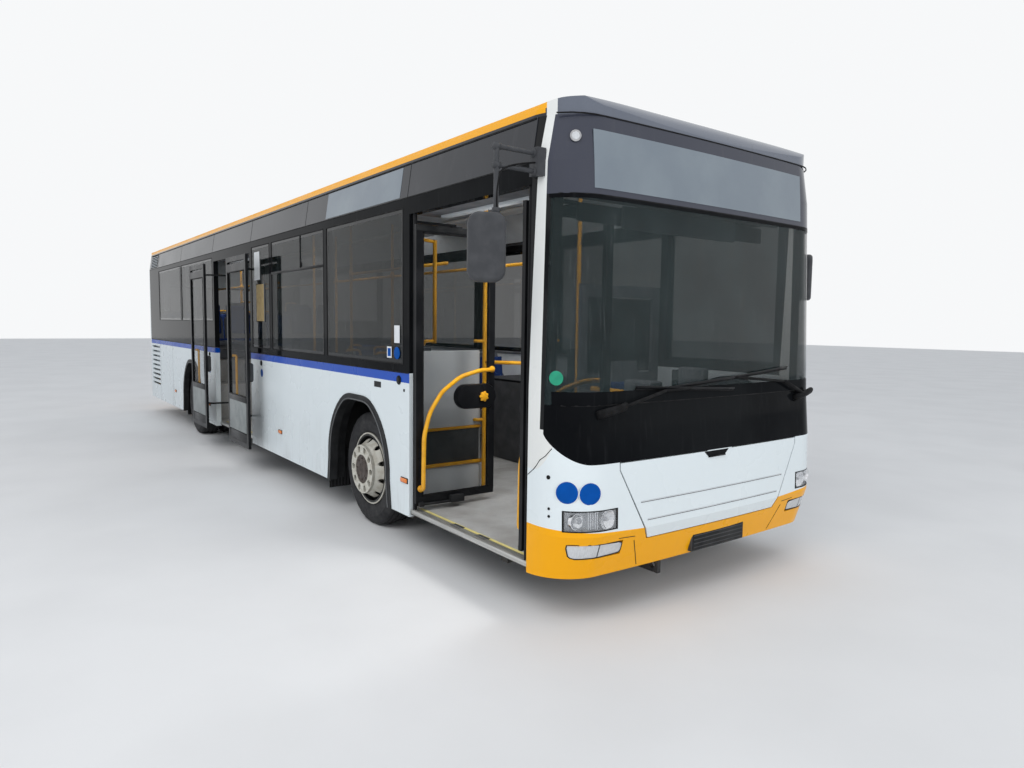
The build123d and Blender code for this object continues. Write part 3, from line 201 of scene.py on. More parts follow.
def join_rings(bm, a, b, skip=()):
    """Quads between two rings of points."""
    for k in range(len(a)):
        m = (k + 1) % len(a)
        if k not in skip:
            bm.faces.new((a[k], a[m], b[m], b[k]))


def loft(rows):
    """Rings of points joined one to the next, with a face over each end."""
    bm = bmesh.new()
    rings = [[bm.verts.new(point) for point in row] for row in rows]
    for a, b in zip(rings, rings[1:]):
        join_rings(bm, a, b)
    bm.faces.new(rings[0][::-1])
    bm.faces.new(rings[-1])
    return bm


def box(x0, x1, y0, y1, z0, z1, bevel=0.003, segments=2):
    """A box between two corners, with rounded edges."""
    bm = bmesh.new()
    size = Vector((abs(x1 - x0), abs(y1 - y0), abs(z1 - z0)))
    place = at((x0 + x1) / 2, (y0 + y1) / 2, (z0 + z1) / 2)
    bmesh.ops.create_cube(bm, size=1.0, matrix=place @ Matrix.Diagonal((*size, 1)))
    width = min(bevel, min(size) * 0.45)
    if width > 0:
        bmesh.ops.bevel(bm, geom=bm.edges[:], offset=width, segments=segments, affect="EDGES", profile=0.5)
    return bm


def rounded(points, radius, steps=6):
    """A path with its corners turned into arcs."""
    path = [Vector(points[0])]
    for before, corner, after in zip(points, points[1:], points[2:]):
        corner = Vector(corner)
        a = Vector(before) - corner
        b = Vector(after) - corner
        cut = min(radius, a.length * 0.48, b.length * 0.48)
        start = corner + a.normalized() * cut
        end = corner + b.normalized() * cut
        for i in range(steps + 1):
            t = i / steps
            path.append(start.lerp(corner, t).lerp(corner.lerp(end, t), t))
    path.append(Vector(points[-1]))
    return path


def tube(points, radius, bend=0.0, sides=12, flat=1.0):
    """A round bar along a path; flat squeezes it across its second axis."""
    path = rounded(points, bend) if bend else [Vector(p) for p in points]
    turns = [2 * pi * k / sides for k in range(sides)]
    rows = []
    normal = None
    for i, point in enumerate(path):
        ahead = (path[min(i + 1, len(path) - 1)] - path[max(i - 1, 0)]).normalized()
        if normal is None:
            normal = ahead.orthogonal().normalized()
        normal = (normal - ahead * normal.dot(ahead)).normalized()
        across = ahead.cross(normal)
        rows.append([point + normal * radius * cos(t) + across * radius * flat * sin(t) for t in turns])
    return loft(rows)


def lathe(profile, segments=48, closed=False, dent=None):
    """A profile of (radius, distance along the axis) turned about +Y; dent changes a radius by its turn."""
    bm = bmesh.new()
    rings = []
    for i in range(segments):
        turn = 2 * pi * i / segments
        ring = []
        for k, (r, along) in enumerate(profile):
            if dent:
                r = r - dent(i, k)
            ring.append(bm.verts.new((r * cos(turn), along, r * sin(turn))))
        rings.append(ring)
    count = len(profile)
    for a, b in zip(rings, rings[1:] + rings[:1]):
        for k in range(count if closed else count - 1):
            m = (k + 1) % count
            bm.faces.new((a[k], b[k], b[m], a[m]))
    if not closed:
        bm.faces.new([ring[0] for ring in rings])
        bm.faces.new([ring[-1] for ring in reversed(rings)])
    bmesh.ops.remove_doubles(bm, verts=bm.verts[:], dist=1e-6)
    return outward(bm)


def slab(outline, to_point, depth):
    """A flat outline of (a, b) pushed from to_point(a, b, 0) to to_point(a, b, depth)."""
    return outward(loft([[to_point(a, b, d) for a, b in outline] for d in (0.0, depth)]))


def front_sheet(corners, proud, depth, nu=12, nv=4):
    """A sheet on the front between four corners of (across, height), from lower left anticlockwise."""
    a, b, c, d = [Vector(p) for p in corners]
    bm = bmesh.new()
    borders = []
    for out, step in ((proud, 1), (proud - depth, -1)):
        rows = []
        for j in range(nv + 1):
            left, right = a.lerp(d, j / nv), b.lerp(c, j / nv)
            places = [left.lerp(right, i / nu) for i in range(nu + 1)]
            rows.append([bm.verts.new(front_point(*p, out)) for p in places])
        for low, high in zip(rows, rows[1:]):
            for i in range(nu):
                bm.faces.new((low[i], low[i + 1], high[i + 1], high[i])[::step])
        borders.append(rows[0] + [r[-1] for r in rows[1:]] + rows[-1][-2::-1] + [r[0] for r in rows[-2:0:-1]])
    join_rings(bm, *borders)
    return outward(bm)


def front_strip(points, width, proud=0.0012, depth=0.004):
    """A narrow strip along a line of (across, height) points on the front."""
    path = [Vector(p) for p in points]
    fine = []
    for a, b in zip(path, path[1:]):
        count = max(2, int((b - a).length / 0.06))
        fine += [a.lerp(b, i / count) for i in range(count)]
    fine.append(path[-1])
    rows = []
    for i, p in enumerate(fine):
        run = (fine[min(i + 1, len(fine) - 1)] - fine[max(i - 1, 0)]).normalized()
        side = Vector((-run.y, run.x)) * width / 2
        rows.append([front_point(*q, out) for q, out in
                     ((p - side, -depth), (p - side, proud), (p + side, proud), (p + side, -depth))])
    return outward(loft(rows))


def disc_on(place, radius, thick, dome=0.0, segments=32):
    """A round badge: a lathe with its axis turned by the matrix place, +Y outwards."""
    profile = [(CORE, 0.0), (radius, 0.0), (radius, thick * 0.6), (radius * 0.94, thick), (CORE, thick + dome)]
    return moved(lathe(profile, segments), place)


def flipped(bm):
    """The form on the other side of the bus."""
    return reversed_faces(moved(bm, Matrix.Diagonal((1, -1, 1, 1))))


def linked(name, data):
    """A new object in the scene."""
    thing = bpy.data.objects.new(name, data)
    bpy.context.scene.collection.objects.link(thing)
    return thing


class Piece:
    """A named object built up from forms, each with its own material."""

    def __init__(self, name, body="root"):
        self.name = name
        self.body = body
        self.bm = bmesh.new()
        self.materials = []

    def add(self, form, material, both=False):
        """Adds a form, and its mirror image if both is true."""
        if material not in self.materials:
            self.materials.append(material)
        for face in form.faces:
            face.material_index = self.materials.index(material)
            face.smooth = True
        for edge in form.edges:
            if len(edge.link_faces) == 2 and edge.calc_face_angle(0) > radians(35):
                edge.smooth = False
        merge(self.bm, form)
        if both:
            merge(self.bm, flipped(form))
        form.free()
        return self

    def boxes(self, *rows):
        """Adds a box for each row of material, corners and bevel."""
        for material, *size in rows:
            self.add(box(*size), material)
        return self

    def turned(self, x, side, *forms):
        """Adds forms made about +Y, set on a wheel's axis and on its side of the bus."""
        place = at(x, 0, AXLE_Z) @ Matrix.Diagonal((1, side, 1, 1))
        for form, material in forms:
            moved(form, place)
            self.add(outward(form) if side < 0 else form, material)
        return self

    def done(self, slot=None, replaces=()):
        """Makes the object, which then moves with its body."""
        mesh = bpy.data.meshes.new(self.name)
        self.bm.to_mesh(mesh)
        self.bm.free()
        for material in self.materials:
            mesh.materials.append(material)
        piece = linked(self.name, mesh)
        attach(piece, self.body)
        if replaces:
            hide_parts(*replaces)


# Materials

class Finish:
    """A node material with a running base colour, roughness and bump, to which layers are added."""

    def __init__(self, name, colour, rough=0.5, metal=0.0, coat=0.0, alpha=1.0, specular=0.5):
        self.mat = bpy.data.materials.new(name)
        self.mat.use_nodes = True
        self.tree = self.mat.node_tree
        self.shader = self.tree.nodes["Principled BSDF"]
        for key, value in (("Metallic", metal), ("Coat Weight", coat), ("Coat Roughness", 0.06),
                           ("Specular IOR Level", specular), ("Alpha", alpha)):
            self.shader.inputs[key].default_value = value
        self.place = self.node("ShaderNodeTexCoord").outputs["Object"]
        self.x, self.y, self.z = self.node("ShaderNodeSeparateXYZ", {"Vector": self.place}).outputs
        self.colour = (*colour, 1.0)
        self.rough = rough
        self.normal = None

    def node(self, kind, inputs=None, **settings):
        node = self.tree.nodes.new(kind)
        for key, value in settings.items():
            setattr(node, key, value)
        for key, value in (inputs or {}).items():
            self.feed(node.inputs[key], value)
        return node

    def feed(self, socket, value):
        if isinstance(value, bpy.types.NodeSocket):
            self.tree.links.new(value, socket)
        else:
            socket.default_value = value

    def math(self, kind, *values):
        node = self.node("ShaderNodeMath", operation=kind)
        for socket, value in zip(node.inputs, values):
            self.feed(socket, value)
        return node.outputs[0]

    def above(self, value, low):
        return self.math("GREATER_THAN", value, low)

    def below(self, value, high):
        return self.math("LESS_THAN", value, high)

    def product(self, first, *others):
        """The values multiplied: for masks, where all of them are 1."""
        for value in others:
            first = self.math("MULTIPLY", first, value)
        return first

    def between(self, value, low, high):
        """1 between two values and 0 outside them."""
        return self.product(self.above(value, low), self.below(value, high))

    def noise(self, size, detail=4.0, stretch=(1, 1, 1)):
        """A noise whose lumps are about size across, stretched along each axis."""
        scale = [1 / (size * s) for s in stretch]
        place = self.node("ShaderNodeMapping", {"Vector": self.place, "Scale": scale}).outputs[0]
        return self.node("ShaderNodeTexNoise", {"Vector": place, "Scale": 1.0, "Detail": detail}).outputs["Fac"]

    def spread(self, value, low, high, to_low=0.0, to_high=1.0):
        """The value carried from one range to another, and held at its ends."""
        keys = {"Value": value, "From Min": low, "From Max": high, "To Min": to_low, "To Max": to_high}
        return self.node("ShaderNodeMapRange", keys).outputs["Result"]

    def layer(self, mask, colour):
        """Lays a colour over the base colour where the mask is 1."""
        node = self.node("ShaderNodeMix", {0: mask}, data_type="RGBA")
        self.feed(node.inputs[6], self.colour)
        self.feed(node.inputs[7], (*colour, 1.0))
        self.colour = node.outputs[2]

    def vary(self, size, colour, amount=1.0, stretch=(1, 1, 1), low=0.4, high=0.65, detail=4.0):
        """Blotches of another colour."""
        self.layer(self.spread(self.noise(size, detail, stretch), low, high, 0.0, amount), colour)

    def roughen(self, size, low, high, stretch=(1, 1, 1)):
        """A roughness that wanders between two values."""
        self.rough = self.spread(self.noise(size, 3.0, stretch), 0.3, 0.7, low, high)

    def bump(self, height, strength=0.3, depth=0.001):
        """A relief from a height value, over any earlier one."""
        keys = {"Height": height, "Strength": strength, "Distance": depth}
        if self.normal:
            keys["Normal"] = self.normal
        self.normal = self.node("ShaderNodeBump", keys).outputs["Normal"]

    def done(self):
        self.feed(self.shader.inputs["Base Color"], self.colour)
        self.feed(self.shader.inputs["Roughness"], self.rough)
        if self.normal:
            self.feed(self.shader.inputs["Normal"], self.normal)
        return self.mat


WHITE = (0.74, 0.80, 0.82)
PILLAR_WHITE = (0.74, 0.75, 0.73)
YELLOW = (0.92, 0.41, 0.001)
BLUE = (0.002, 0.068, 0.44)
DARK = (0.016, 0.018, 0.023)
BAND_BLACK = (0.0045, 0.005, 0.006)
DISPLAY_GREY = (0.050, 0.054, 0.074)
DIRT = (0.17, 0.15, 0.12)
UNDERSIDE = (0.014, 0.014, 0.014)
CREAM = (0.60, 0.585, 0.52)
CREAM_DARK = (0.44, 0.41, 0.34)
PANE = (0.006, 0.009, 0.009)

# Where the paint changes: the blue line, the black between the pillars and beside them, the yellow tail
LINE_LOW_Z = 1.272
LINE_X = (-5.76, 4.2)
MASK_LOW_Z = 1.13
JAMB_LOW_Z = 1.36
TAIL_X = -5.905


def body_paint(name, yellow_nose=True):
    """White gloss paint with the yellow ends, the blue line under the windows and road dirt."""
    m = Finish(name, WHITE, coat=0.1, specular=0.2)
    m.vary(1.6, (0.70, 0.76, 0.78), 0.6, low=0.35, high=0.7)
    out = m.math("ABSOLUTE", m.y)
    seam = m.math("MULTIPLY_ADD", m.math("SUBTRACT", SIDE_Y, out), 4.06, 0.90)
    m.layer(m.product(m.above(m.x, NOSE_X), m.above(m.z, seam)), PILLAR_WHITE)
    jamb = m.math("MULTIPLY_ADD", m.math("SUBTRACT", m.z, JAMB_LOW_Z), 0.035, NOSE_X)
    m.layer(m.product(m.above(m.z, JAMB_LOW_Z), m.above(m.x, NOSE_X - 0.001), m.below(m.x, jamb)), BAND_BLACK)
    edge = m.above(m.x, PILLAR_X)
    m.layer(m.product(edge, m.between(m.z, MASK_LOW_Z, SCREEN_TOP_Z)), BAND_BLACK)
    m.layer(m.product(edge, m.above(m.z, SCREEN_TOP_Z)), DISPLAY_GREY)
    if yellow_nose:
        line = m.math("MULTIPLY_ADD", m.math("POWER", out, 2.0), 0.035, 0.527)
        m.layer(m.product(m.above(m.x, NOSE_X), m.below(m.z, line)), YELLOW)
    m.layer(m.product(m.below(m.x, TAIL_X), m.below(m.z, LINE_LOW_Z)), YELLOW)
    m.layer(m.product(m.between(m.z, LINE_LOW_Z, BELT_Z), m.between(m.x, *LINE_X)), BLUE)
    streak = m.spread(m.noise(0.05, 5.0, (1, 1, 9)), 0.52, 0.75)
    low = m.product(m.spread(m.z, 0.95, 0.3), m.spread(m.x, NOSE_X + 0.1, NOSE_X - 0.5, 0.15, 1.0))
    m.layer(m.product(streak, low, 0.22), DIRT)
    splash = m.spread(m.noise(0.35, 8.0), 0.45, 0.7)
    m.layer(m.product(splash, low, 0.14), DIRT)
    m.roughen(0.4, 0.22, 0.38)
    m.bump(m.noise(0.9, 2.0), 0.10, 0.004)
    m.bump(m.noise(0.004, 2.0), 0.04, 0.0004)
    return m.done()


def plain(name, colour, other, size=0.05, rough=(0.35, 0.5), grain=0.002, relief=0.15, **more):
    """A surface with two shades, a wandering roughness and a fine relief."""
    m = Finish(name, colour, **more)
    m.vary(size, other, 0.8)
    m.roughen(size * 1.7, *rough)
    m.bump(m.noise(grain, 3.0), relief, grain * 0.3)
    return m.done()


def gloss_black():
    m = Finish("band_black", BAND_BLACK, specular=0.03)
    m.vary(0.7, (0.010, 0.011, 0.012), 0.9)
    m.vary(0.03, (0.03, 0.031, 0.033), 0.25, (1, 1, 12), 0.56, 0.8, 5.0)
    m.roughen(0.3, 0.04, 0.10)
    m.bump(m.noise(1.1, 2.0), 0.06, 0.003)
    return m.done()


def cantrail_paint(name, colour, other):
    """Dark grey gloss paint above the windows, yellow at the roof's edge and white behind the front cap."""
    m = Finish(name, colour, specular=0.35)
    m.vary(1.3, other, 0.9)
    m.vary(0.05, (0.09, 0.09, 0.095), 0.2, (1, 1, 8), 0.55, 0.8)
    outer = m.above(m.math("ABSOLUTE", m.y), 1.195)
    m.layer(m.product(m.above(m.z, 2.866), m.below(m.x, CAP_X), outer), YELLOW)
    m.layer(m.product(m.above(m.z, CANTRAIL_Z), m.between(m.x, CAP_X, PILLAR_X + 0.01)), PILLAR_WHITE)
    m.roughen(0.5, 0.12, 0.22)
    m.bump(m.noise(0.9, 2.0), 0.08, 0.003)
    return m.done()


def roof_paint():
    """Off-white roof, with the yellow edge strip behind the front cap."""
    m = Finish("roof_white", (0.60, 0.61, 0.61), coat=0.2)
    m.vary(0.5, (0.45, 0.45, 0.43), 0.8, (3, 1, 1))
    m.vary(0.02, (0.30, 0.29, 0.26), 0.3, low=0.6, high=0.75)
    outer = m.above(m.math("ABSOLUTE", m.y), 1.16)
    m.layer(m.product(m.between(m.z, CEILING_Z - 0.001, 2.922), outer), YELLOW)
    m.roughen(0.3, 0.35, 0.6)
    m.bump(m.noise(0.8, 3.0), 0.2, 0.004)
    return m.done()


def glass(name, tint, alpha):
    """Tinted pane with faint rain streaks."""
    m = Finish(name, tint, alpha=alpha, specular=0.25)
    m.vary(0.25, [c * 1.6 + 0.004 for c in tint], 0.7)
    m.roughen(0.2, 0.01, 0.03)
    m.vary(0.012, (0.30, 0.32, 0.33), 0.30, (1, 1, 22), 0.60, 0.82)
    m.bump(m.noise(0.6, 2.0), 0.05, 0.002)
    return m.done()


def rubber_tyre():
    m = Finish("tyre_rubber", (0.022, 0.022, 0.024), specular=0.25)
    m.vary(0.08, (0.036, 0.036, 0.037), 0.9)
    m.vary(0.02, (0.08, 0.075, 0.065), 0.3, low=0.58, high=0.75)
    m.roughen(0.05, 0.62, 0.85)
    m.bump(m.noise(0.0015, 4.0), 0.25, 0.0004)
    return m.done()


def wheel_paint():
    """Cream wheel paint with brake dust, and a painted shadow in the gap between the disc and the rim's edge."""
    m = Finish("wheel_cream_painted_shadow", CREAM, metal=0.2)
    m.vary(0.05, CREAM_DARK, 0.8)
    along = m.math("MINIMUM", *(m.math("ABSOLUTE", m.math("SUBTRACT", m.x, axle))
                                for axle in (FRONT_AXLE_X, REAR_AXLE_X)))
    up = m.math("SUBTRACT", m.z, AXLE_Z)
    radius = m.math("SQRT", m.math("ADD", m.math("POWER", along, 2.0), m.math("POWER", up, 2.0)))
    # Near-black band between the disc and the rim's edge: painted shadow, with only the flange's edge left light.
    m.layer(m.between(radius, 0.247, 0.291), (0.012, 0.012, 0.012))
    m.roughen(0.085, 0.35, 0.55)
    m.bump(m.noise(0.002, 3.0), 0.2, 0.0006)
    return m.done()


def woven_seat():
    """Blue woven seat cover with small light flecks."""
    m = Finish("seat_cover", (0.018, 0.045, 0.17), specular=0.25)
    cells = m.node("ShaderNodeTexVoronoi", {"Vector": m.place, "Scale": 42.0}).outputs["Distance"]
    m.layer(m.below(cells, 0.16), (0.16, 0.28, 0.50))
    m.vary(0.11, (0.010, 0.025, 0.10), 0.7)
    wave = m.node("ShaderNodeTexWave", {"Vector": m.place, "Scale": 160.0, "Distortion": 1.0}).outputs["Fac"]
    m.roughen(0.03, 0.75, 0.95)
    m.bump(wave, 0.3, 0.0006)
    m.bump(m.noise(0.003), 0.3, 0.0006)
    return m.done()


def speckled_floor():
    """Light grey hard floor with chips of two colours and scuffs, dark under the wheel boxes and the floor."""
    m = Finish("floor_vinyl", (0.33, 0.33, 0.325))
    cells = m.node("ShaderNodeTexVoronoi", {"Vector": m.place, "Scale": 220.0})
    m.layer(m.below(cells.outputs["Distance"], 0.28), (0.52, 0.52, 0.50))
    m.vary(0.004, (0.12, 0.12, 0.125), 0.7, low=0.62, high=0.66)
    m.vary(0.3, (0.20, 0.19, 0.175), 0.6)
    out = m.math("ABSOLUTE", m.y)
    for axle, inner in ((FRONT_AXLE_X, 0.509), (REAR_AXLE_X, 0.569)):
        along = m.between(m.x, axle - 0.641, axle + 0.641)
        m.layer(m.product(along, m.between(out, inner, 1.26), m.below(m.z, 1.1115)), UNDERSIDE)
    m.layer(m.below(m.z, FLOOR_Z - 0.004), UNDERSIDE)
    m.roughen(0.1, 0.45, 0.75)
    m.bump(m.noise(0.002), 0.2, 0.0005)
    return m.done()


def brushed(name, colour, other, rough=(0.25, 0.4)):
    """Brushed or rolled bare metal."""
    m = Finish(name, colour, metal=1.0)
    m.vary(0.02, other, 0.8, (20, 1, 1))
    m.roughen(0.01, *rough, (20, 1, 1))
    m.bump(m.noise(0.001, 2.0, (30, 1, 1)), 0.12, 0.0003)
    return m.done()


def ribbed_lens(name, colour, alpha, pitch):
    """Clear or coloured lamp plastic with moulded ribs."""
    m = Finish(name, colour, alpha=alpha, coat=0.6)
    m.roughen(0.05, 0.05, 0.12)
    m.vary(0.03, [c * 0.8 for c in colour], 0.6)
    m.bump(m.math("SINE", m.math("MULTIPLY", m.y, 2 * pi / pitch)), 0.5, 0.001)
    return m.done()


PAINT = body_paint("body_paint")
FLAP_PAINT = body_paint("flap_paint", False)
BLACK = gloss_black()
CANTRAIL = cantrail_paint("cantrail_grey", DARK, (0.026, 0.028, 0.034))
# The roof cap's paint is the dark grey made lighter and bluer: a painted reflection of the sky on its top.
CAP_SKY_REFLECTION = cantrail_paint("cap_grey_painted_reflection", (0.115, 0.130, 0.165), (0.140, 0.155, 0.190))
DISPLAY = cantrail_paint("display_grey", DISPLAY_GREY, (0.040, 0.044, 0.062))
ROOF = roof_paint()
GLASS = glass("window_glass", PANE, 0.66)
DOOR_GLASS = glass("door_glass", PANE, 0.22)
SCREEN = glass("screen_glass", (0.014, 0.024, 0.025), 0.50)
TYRE = rubber_tyre()
SEAT = woven_seat()
VINYL = speckled_floor()
WHEEL = wheel_paint()
STEEL = brushed("steel", (0.55, 0.55, 0.56), (0.38, 0.38, 0.39))
SILL = brushed("sill_aluminium", (0.60, 0.60, 0.58), (0.42, 0.42, 0.40), (0.35, 0.55))
CHROME = brushed("lamp_chrome", (0.82, 0.83, 0.85), (0.65, 0.66, 0.68), (0.06, 0.14))
LAMP_BACK = brushed("lamp_back", (0.26, 0.27, 0.29), (0.14, 0.145, 0.155), (0.15, 0.30))
MIRROR_GLASS = brushed("mirror_glass", (0.80, 0.82, 0.83), (0.74, 0.76, 0.78), (0.02, 0.05))
LENS = ribbed_lens("lens_clear", (0.80, 0.83, 0.86), 0.16, 0.5)
FOG_LENS = ribbed_lens("lens_ribbed", (0.72, 0.74, 0.76), 0.85, 0.012)
RED_LENS = ribbed_lens("lens_red", (0.55, 0.012, 0.010), 0.92, 0.010)
AMBER_LENS = ribbed_lens("lens_amber", (0.88, 0.22, 0.012), 0.92, 0.010)
RIM = plain("rim_silver", CREAM, CREAM_DARK, 0.05, (0.35, 0.55), 0.002, 0.2, metal=0.2)
HUB = plain("hub_iron", (0.045, 0.034, 0.030), (0.09, 0.070, 0.058), 0.03, (0.5, 0.8), 0.002, 0.4)
RUBBER = plain("seal_rubber", (0.008, 0.008, 0.0085), (0.018, 0.018, 0.019), 0.04, (0.55, 0.75),
               0.0015, 0.3, specular=0.12)
LIP = plain("lip_plastic", (0.013, 0.0135, 0.0145), (0.03, 0.031, 0.032), 0.12, (0.40, 0.6),
            0.0015, 0.3, specular=0.15)
# A light grey strip along the arch lips' edge: a painted highlight.
LIP_HIGHLIGHT = plain("lip_painted_highlight", (0.16, 0.165, 0.17), (0.11, 0.115, 0.12), 0.12, (0.40, 0.6), 0.0015, 0.3)
FRAME_BLACK = plain("door_black", (0.007, 0.0075, 0.0085), (0.014, 0.0145, 0.016), 0.2, (0.25, 0.38),
                    0.0012, 0.15, specular=0.15)
RAIL = plain("rail_yellow", (0.80, 0.40, 0.015), (0.66, 0.30, 0.01), 0.06, (0.28, 0.45), 0.0012, 0.15, coat=0.2)
SILL_LINE = plain("sill_line", (0.62, 0.54, 0.20), (0.50, 0.44, 0.18), 0.03, (0.4, 0.6), 0.0012, 0.2)
FROST = plain("frosted_panel", (0.24, 0.26, 0.26), (0.18, 0.20, 0.20), 0.10, (0.4, 0.6), 0.0015, 0.1)
CAB = plain("cab_plastic", (0.10, 0.105, 0.115), (0.15, 0.155, 0.165), 0.1, (0.5, 0.7), 0.0012, 0.35)
DASH = plain("dash_plastic", (0.035, 0.037, 0.040), (0.06, 0.062, 0.066), 0.1, (0.5, 0.7), 0.0012, 0.35)
TRIM = plain("trim_light", (0.60, 0.63, 0.65), (0.52, 0.55, 0.57), 0.2, (0.45, 0.6), 0.0015, 0.2)
MIRROR_SHELL = plain("mirror_plastic", (0.036, 0.038, 0.043), (0.055, 0.057, 0.062), 0.06, (0.5, 0.65),
                     0.001, 0.35)
CHASSIS = plain("chassis_black", (0.020, 0.020, 0.021), (0.07, 0.062, 0.052), 0.09, (0.6, 0.9), 0.003, 0.4)
IRON = plain("cast_iron", (0.045, 0.043, 0.042), (0.11, 0.085, 0.065), 0.05, (0.6, 0.85), 0.003, 0.5)
SIGN_BLUE = plain("sign_blue", (0.003, 0.078, 0.36), (0.003, 0.068, 0.31), 0.05, (0.45, 0.6),
                  0.001, 0.05, specular=0.05)
SIGN_WHITE = plain("sign_white", (0.75, 0.77, 0.79), (0.68, 0.70, 0.72), 0.05, (0.3, 0.45), 0.001, 0.05)
SIGN_GREEN = plain("sign_green", (0.010, 0.30, 0.17), (0.008, 0.24, 0.14), 0.04, (0.3, 0.45), 0.001, 0.05)
SIGN_GLASS = plain("sign_glass", (0.17, 0.205, 0.24), (0.21, 0.25, 0.28), 0.5, (0.05, 0.10), 0.3, 0.05)
FRIT = plain("pane_print", (0.006, 0.0065, 0.007), (0.012, 0.0125, 0.013), 0.3, (0.05, 0.12),
             0.3, 0.04, specular=0.3)
SEAT_SHELL = plain("seat_shell", (0.10, 0.11, 0.13), (0.14, 0.15, 0.17), 0.06, (0.45, 0.6), 0.0012, 0.25)
LIGHT = plain("lamp_cover", (0.80, 0.81, 0.80), (0.72, 0.73, 0.72), 0.3, (0.3, 0.45), 0.002, 0.1)
STRAW = plain("window_board", (0.42, 0.31, 0.14), (0.31, 0.22, 0.10), 0.05, (0.6, 0.8), 0.002, 0.2)

NODE_MATERIALS = {
    FLAP_PAINT: "front_flap",
    PAINT: "front_bumper front_mask side_right side_left rear_wall engine_lid side_grille",
    BLACK: "front_panel window_band_right window_band_left",
    CANTRAIL: "cantrails roof_rim",
    CAP_SKY_REFLECTION: "roof_cap",
    DISPLAY: "display_glass",
    ROOF: "roof roof_hatches",
    GLASS: "glazing",
    SCREEN: "windscreen",
    DOOR_GLASS: "front_door_glass_aft front_door_glass_fore middle_door_glass_aft middle_door_glass_fore",
    FRAME_BLACK: "front_door_leaf_aft front_door_leaf_fore middle_door_leaf_aft middle_door_leaf_fore "
                 "front_door_column_aft front_door_column_fore middle_door_column_aft middle_door_column_fore",
    TYRE: "front_tyre_right front_tyre_left rear_tyres_right rear_tyres_left",
    WHEEL: "front_rim_right front_rim_left rear_rims_right rear_rims_left",
    LIP: "arch_lips",
    VINYL: "low_floor raised_floor",
    CHASSIS: "frame_rails cross_members",
    IRON: "front_axle rear_axle engine knuckle_right knuckle_left",
    CAB: "driver_cab door_headers",
    DASH: "steering_wheel",
    RAIL: "handrails",
    MIRROR_SHELL: "mirrors",
    SEAT: "seats",
    RUBBER: "wipers",
    LENS: "front_lamps",
    RED_LENS: "rear_lamps",
}


def dress_nodes():
    for material, names in NODE_MATERIALS.items():
        for name in names.split():
            mesh = CAD_NODES[name].data
            mesh.materials.clear()
            mesh.materials.append(material)


# Stage, light and camera

CAMERA_PLACE = (8.75587, -3.69938, 1.71683)
CAMERA_YAW = radians(143.45886)
CAMERA_PITCH = radians(-4.89814)
CAMERA_ROLL = radians(0.73638)
CAMERA_LENS = 24.908
STAGE_REACH = 60


def camera():
    """The camera at the photograph's place and angle."""
    yaw, pitch, roll = CAMERA_YAW, CAMERA_PITCH, CAMERA_ROLL
    ahead = Vector((cos(pitch) * cos(yaw), cos(pitch) * sin(yaw), sin(pitch)))
    level = Vector((sin(yaw), -cos(yaw), 0))
    upright = level.cross(ahead)
    right = level * cos(roll) + upright * sin(roll)
    up = upright * cos(roll) - level * sin(roll)
    data = bpy.data.cameras.new("camera")
    data.lens = CAMERA_LENS
    data.sensor_width = 36.0
    data.clip_end = 200.0
    view = linked("camera", data)
    view.matrix_world = at(*CAMERA_PLACE) @ Matrix((right, up, -ahead)).transposed().to_4x4()
    bpy.context.scene.camera = view


def lamp(name, place, target, size, energy, spread=180):
    """A soft area lamp that shines from a place at a target."""
    data = bpy.data.lights.new(name, "AREA")
    data.shape = "RECTANGLE"
    data.size, data.size_y = size
    data.energy = energy
    data.spread = radians(spread)
    light = linked(name, data)
    light.visible_camera = False
    light.visible_glossy = False
    away = Vector(place) - Vector(target)
    light.matrix_world = at(*place) @ away.to_track_quat("Z", "Y").to_matrix().to_4x4()


def stage():
    """White background, pale floor and the lamps outside and in the cabin."""
    scene = bpy.context.scene
    scene.view_settings.view_transform = "Standard"
    scene.world = bpy.data.worlds.new("studio")
    scene.world.use_nodes = True
    tree = scene.world.node_tree
    path = tree.nodes.new("ShaderNodeLightPath").outputs
    seen = path["Is Camera Ray"]
    for ray in ("Is Glossy Ray", "Is Transmission Ray"):
        either = tree.nodes.new("ShaderNodeMath")
        either.operation = "MAXIMUM"
        tree.links.new(seen, either.inputs[0])
        tree.links.new(path[ray], either.inputs[1])
        seen = either.outputs[0]
    mix = tree.nodes.new("ShaderNodeMix")
    mix.data_type = "RGBA"
    mix.inputs[6].default_value = (0.60, 0.63, 0.67, 1)
    mix.inputs[7].default_value = (0.93, 0.94, 0.95, 1)
    tree.links.new(seen, mix.inputs[0])
    back = tree.nodes["Background"]
    back.inputs["Strength"].default_value = 1.0
    tree.links.new(mix.outputs[2], back.inputs["Color"])

    floor = Finish("studio_floor", (0.78, 0.78, 0.78))
    floor.vary(1.2, (0.74, 0.74, 0.74), 0.8)
    floor.roughen(0.5, 0.6, 0.8)
    floor.bump(floor.noise(0.01), 0.1, 0.001)
    mesh = bpy.data.meshes.new("floor")
    corners = oblong(-STAGE_REACH, STAGE_REACH, -STAGE_REACH, STAGE_REACH)
    mesh.from_pydata([(x, y, 0) for x, y in corners], [], [(0, 1, 2, 3)])
    mesh.materials.append(floor.done())
    ground = linked("floor", mesh)
    lamp("key", (9, -12, 13), (0, 0, 1), (12, 9), 1150)
    lamp("fill", (18, 0, 6), (5, 0, 1.6), (10, 5), 105, 80)
    for x in (4.9, 3.2, 0.4, -3.6):
        lamp("cabin_fill", (x, 0, 2.82), (x, 0, 0), (0.9, 2.4), 20)
    lamp("door_fill", (5.3, -0.5, 2.2), (4.0, -0.9, 1.0), (0.5, 0.5), 14)


# Wheels

TREAD_STEPS = 120
GROOVES = (0.078, 0.027, -0.027, -0.078)
GROOVE_W = 0.009
GROOVE_D = 0.011
HALF_TYRE = 0.1375
TREAD_HALF = 0.1015
SHOULDER_R = 0.4735
HOLES = 10
BOLT_R = 0.1675
NUT_FOOT = 0.019

